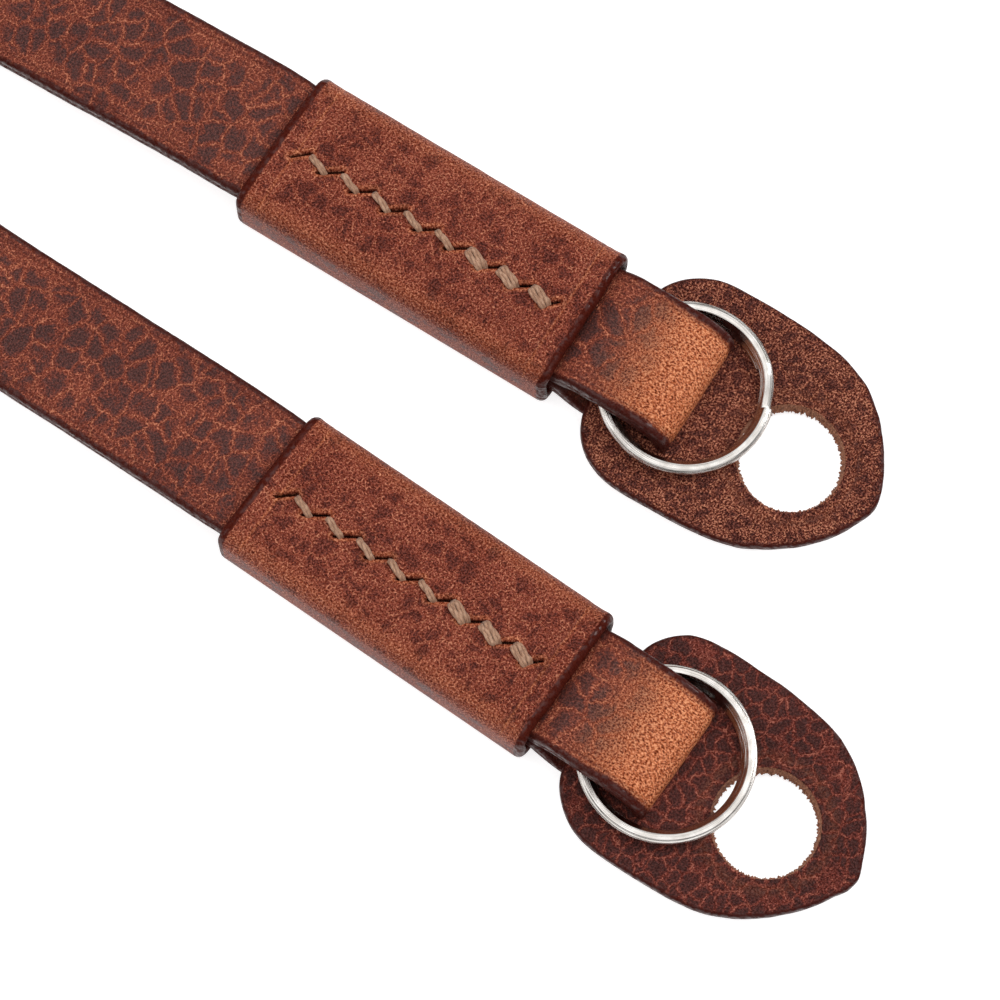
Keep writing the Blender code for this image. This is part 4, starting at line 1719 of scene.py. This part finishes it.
    def cut_slit(self, tab: bpy.types.Object) -> None:
        """Cuts the slit that the strap passes down through.

        Args:
            tab: The tab's piece, whose mesh is replaced.
        """
        shape = bmesh.new()
        bmesh.ops.create_cube(shape, size=1.0)
        size = (self.slit[1] - self.slit[0], 2 * self.slit_half, 8.0)
        bmesh.ops.scale(shape, vec=size, verts=shape.verts)
        bmesh.ops.translate(shape, vec=(sum(self.slit) / 2, 0, 1.5), verts=shape.verts)
        bmesh.ops.transform(shape, matrix=self.end.matrix(), verts=shape.verts)
        mesh = bpy.data.meshes.new("slit_cutter")
        shape.to_mesh(mesh)
        shape.free()
        cutter = bpy.data.objects.new("slit_cutter", mesh)
        bpy.context.scene.collection.objects.link(cutter)
        modifier = tab.modifiers.new("slit", "BOOLEAN")
        modifier.object = cutter
        modifier.operation = "DIFFERENCE"
        bpy.context.view_layer.update()
        cut = bpy.data.meshes.new_from_object(tab.evaluated_get(bpy.context.evaluated_depsgraph_get()))
        tab.modifiers.clear()
        old = tab.data
        tab.data = cut
        bpy.data.meshes.remove(old)
        bpy.data.objects.remove(cutter)

    def add_fibres(self, centre: np.ndarray) -> bpy.types.Object:
        """Short loose fibres that stand out of the punched wall.

        Args:
            centre: The middle of the hole.

        Returns:
            The fibres, as one piece.
        """
        draw = random.Random(self.seed)
        shape = bmesh.new()
        for _ in range(self.fibres):
            angle = draw.uniform(0, 2 * math.pi)
            height = draw.uniform(0.05, 0.75)
            reach = draw.uniform(0.15, 0.42)
            lean = draw.uniform(-1.1, 1.1)
            rise = draw.uniform(-0.12, 0.12)
            thick = draw.uniform(0.018, 0.040)
            steps, around = 4, 4
            grid = np.zeros((steps + 1, around + 1, 3))
            lay = np.zeros((steps + 1, around + 1, 2))
            root = self.hole_radius + 0.1
            for i in range(steps + 1):
                share = i / steps
                bent = angle + lean * share**1.5 * reach / self.hole_radius
                radius = root - reach * share
                for j in range(around + 1):
                    turn = 2 * math.pi * j / around
                    size = thick * (1.02 - share)
                    away = radius + size * math.cos(turn)
                    x = centre[0] + away * math.cos(bent)
                    y = centre[1] + away * math.sin(bent)
                    base = float(self.underside(np.array(x))) + height * self.heights.tab
                    grid[i, j] = (x, y, max(0.04, base + rise * share + size * math.sin(turn)))
                    lay[i, j] = (share + angle * 3, turn / 8 + height)
            Skin(self.end.carry(grid), lay).put(shape)
        close_up(shape)
        return dress("hole_fibres_" + self.end.letter, shape, RawCut(), "strap_body")


@dataclass
class SplitRing:
    """A split ring: two turns of flat wire that cross over once. Sizes are in millimetres."""

    end: End
    split: float
    radius: float = 7.5
    wire_width: float = 1.15
    wire_height: float = 0.7
    rounding: float = 0.24
    coil_gap: float = 0.06
    crossing: float = math.radians(32)
    sprung_in: float = 0.20
    ridge: float = 0.0
    ridge_waves: int = 9
    crest_at: float = 0.16
    crest_drop: float = 0.08
    steps: int = 420

    def section(self) -> np.ndarray:
        """The wire's outline: a crest with a sloped inner face and a rounded, ridged outer one.

        Returns:
            The line's points, out from the wire's middle and up, in millimetres.
        """
        half_w, half_h = self.wire_width / 2, self.wire_height / 2
        low = self.rounding * 0.4
        found = [(0.0, -half_h), (half_w - low, -half_h), (half_w - low * 0.3, -half_h + low * 0.3)]
        found += [(half_w, -half_h + low), (half_w, -half_h + low * 1.8)]
        outer_w, outer_h = half_w - self.crest_at, half_h + self.crest_drop
        for angle in np.radians(np.linspace(4, 90, 24)):
            ridge = self.ridge * math.cos(self.ridge_waves * angle) * math.sin(angle * 2)
            w = self.crest_at + (outer_w + ridge) * math.cos(angle)
            found.append((w, -self.crest_drop + (outer_h + ridge) * math.sin(angle)))
        found += [(0.06, half_h), (-0.14, half_h - 0.004), (-0.20, half_h - 0.03)]
        for i in range(7):
            w = blend(-0.22, -half_w + 0.03, i / 6)
            found.append((w, blend(half_h - 0.045, -half_h + 0.24, i / 6)))
        found += [(-half_w, -half_h + 0.20), (-half_w, -half_h + low)]
        found += [(-half_w + low * 0.3, -half_h + low * 0.3), (-half_w + low, -half_h)]
        found.append(found[0])
        return np.array(found)

    def build(self) -> bpy.types.Object:
        """Winds the wire.

        Returns:
            The finished ring.
        """
        outline = self.section()
        lift = (self.wire_height + self.coil_gap) / 2
        turns = 4 * math.pi - self.crossing
        middle = self.radius - self.wire_width / 2
        grid = np.zeros((self.steps + 1, len(outline), 3))
        lay = np.zeros((self.steps + 1, len(outline), 2))
        lengths = np.concatenate(([0.0], np.cumsum(np.hypot(*np.diff(outline, axis=0).T))))
        for i in range(self.steps + 1):
            angle = turns * i / self.steps
            crossed = ease((angle - 2 * math.pi + self.crossing) / self.crossing)
            height = blend(lift, -lift, crossed)
            tip = min(i, self.steps - i)
            taper = 1.0 if tip > 0 else 0.9
            for j, (w, h) in enumerate(outline):
                out = middle + w * taper - self.sprung_in * crossed
                way = self.split - angle
                grid[i, j] = (out * math.cos(way), out * math.sin(way), height + h * taper)
                lay[i, j] = (angle * middle, lengths[j])
        matrix = Matrix.Translation(self.end.ring_centre) @ Matrix.Rotation(self.end.heading, 4, "Z")
        matrix = np.array(matrix @ Matrix.Rotation(self.end.lean, 4, "Y") @ Matrix.Scale(MM, 4))
        shape = bmesh.new()
        Skin(grid @ matrix[:3, :3].T + matrix[:3, 3], lay).put(shape)
        close_up(shape)
        letter = self.end.letter
        return dress("split_ring_" + letter, shape, Nickel(), f"ring_{letter}_body", ("ring_" + letter,))


@dataclass
class Studio:
    """The pale floor, the soft light and the camera at the photo's angle.

    Attributes:
        look_at: The point on the floor in the middle of the picture.
    """

    look_at: Vector
    azimuth: float = math.radians(32)
    elevation: float = math.radians(75)
    distance: float = 0.400
    lens: float = 171.8
    sensor: float = 36.0
    floor_size: float = 6.0

    FLOOR = (0.62, 0.617, 0.617)
    FLOOR_GLOW = 0.74
    SKY = ((0.0, 0.05), (0.25, 0.10), (0.5, 0.28), (0.72, 0.70), (0.9, 1.10), (1.0, 1.30))
    LIGHTS = (
        ("window", (0.55, 0.60, 0.75), 0.45, 3.8),
        ("overhead", (-0.15, 0.10, 0.95), 0.9, 1.0),
        ("fill", (-0.75, -0.45, 0.55), 0.6, 1.6),
    )

    def build(self) -> None:
        """Sets up the floor, the world, the lights and the camera."""
        self.add_floor()
        self.add_world()
        for light in self.LIGHTS:
            self.add_light(*light)
        self.add_camera()

    def add_floor(self) -> None:
        """A plain pale floor."""
        shape = bmesh.new()
        bmesh.ops.create_grid(shape, x_segments=4, y_segments=4, size=self.floor_size / 2)
        mesh = bpy.data.meshes.new("floor")
        shape.to_mesh(mesh)
        shape.free()
        g = Graph("pale_floor")
        g.shader.inputs["Base Color"].default_value = (*self.FLOOR, 1.0)
        g.shader.inputs["Roughness"].default_value = 0.9
        g.shader.inputs["Specular IOR Level"].default_value = 0.1
        g.shader.inputs["Emission Color"].default_value = (1.0, 1.0, 1.0, 1.0)
        g.shader.inputs["Emission Strength"].default_value = self.FLOOR_GLOW
        mesh.materials.append(g.material)
        floor = bpy.data.objects.new("floor", mesh)
        bpy.context.scene.collection.objects.link(floor)

    def add_world(self) -> None:
        """Even light from above that dims towards the horizon."""
        world = bpy.data.worlds.new("studio")
        world.use_nodes = True
        tree = world.node_tree
        sky = tree.nodes["Background"]
        way = tree.nodes.new("ShaderNodeTexCoord")
        parts = tree.nodes.new("ShaderNodeSeparateXYZ")
        fade = tree.nodes.new("ShaderNodeValToRGB")
        fade.color_ramp.interpolation = "EASE"
        for height, _ in self.SKY[1:-1]:
            fade.color_ramp.elements.new(height)
        for element, (height, strength) in zip(fade.color_ramp.elements, self.SKY):
            element.position = height
            element.color = (strength, strength, strength, 1.0)
        tree.links.new(way.outputs["Generated"], parts.inputs[0])
        tree.links.new(parts.outputs["Z"], fade.inputs["Fac"])
        tree.links.new(fade.outputs["Color"], sky.inputs["Strength"])
        sky.inputs["Color"].default_value = (1.0, 1.0, 1.0, 1.0)
        bpy.context.scene.world = world

    def add_light(self, name: str, offset: tuple[float, float, float], size: float, power: float) -> None:
        """A square soft light that faces the strap's ends.

        Args:
            name: Name of the light.
            offset: Where it hangs, in metres from the point the camera looks at.
            size: Length of its side, in metres.
            power: Its power, in watts.
        """
        light = bpy.data.lights.new(name, "AREA")
        light.size = size
        light.energy = power
        lamp = bpy.data.objects.new(name, light)
        lamp.location = self.look_at + Vector(offset)
        lamp.rotation_euler = (-Vector(offset)).to_track_quat("-Z", "Y").to_euler()
        bpy.context.scene.collection.objects.link(lamp)

    def add_camera(self) -> None:
        """The camera at the photo's viewing angle."""
        across = Vector((math.cos(self.azimuth), math.sin(self.azimuth), 0))
        level = math.cos(self.elevation)
        way = (math.sin(self.azimuth) * level, -math.cos(self.azimuth) * level, math.sin(self.elevation))
        back = Vector(way)
        camera = bpy.data.cameras.new("camera")
        camera.sensor_width = self.sensor
        camera.lens = self.lens
        camera.clip_start = 0.01
        holder = bpy.data.objects.new("camera", camera)
        matrix = Matrix((across, back.cross(across), back)).transposed().to_4x4()
        matrix.translation = self.look_at + back * self.distance
        holder.matrix_world = matrix
        bpy.context.scene.collection.objects.link(holder)
        bpy.context.scene.camera = holder
        bpy.context.scene.view_settings.view_transform = "Standard"


# Where the camera looks, in millimetres from the centre of the first ring
PICTURE_MIDDLE = (-8.55, -15.6)


def main() -> None:
    """Builds the strap's pieces in order, then the studio round them."""
    logging.basicConfig(level=logging.INFO, format="%(message)s")
    ends = tuple(End.from_joint(joint) for joint in frame["joints"])
    heights = Heights()
    stitching = Stitching()
    Strap(heights, ends).build()
    for end, seed in zip(ends, (0.0, 1.0)):
        Sleeve(heights, end, stitching, seed=seed).build()
        stitching.build(end, heights.sleeve())
    speckled, crackled = TabGrain.SPECKLED, TabGrain.CRACKLED
    Tab(heights, ends[0], speckled, aside=0.3, hole_along=0.1, trims=SPECKLED_TAB_TRIMS, seed=1).build()
    Tab(heights, ends[1], crackled, aside=0.6, hole_along=-0.5, trims=CRACKLED_TAB_TRIMS, seed=2).build()
    SplitRing(ends[0], split=math.radians(17)).build()
    SplitRing(ends[1], split=math.radians(150), ridge=0.028).build()
    ring = ends[0].ring_centre
    Studio(Vector((ring.x + PICTURE_MIDDLE[0] * MM, ring.y + PICTURE_MIDDLE[1] * MM, 0))).build()


if __name__ == "__main__":
    main()
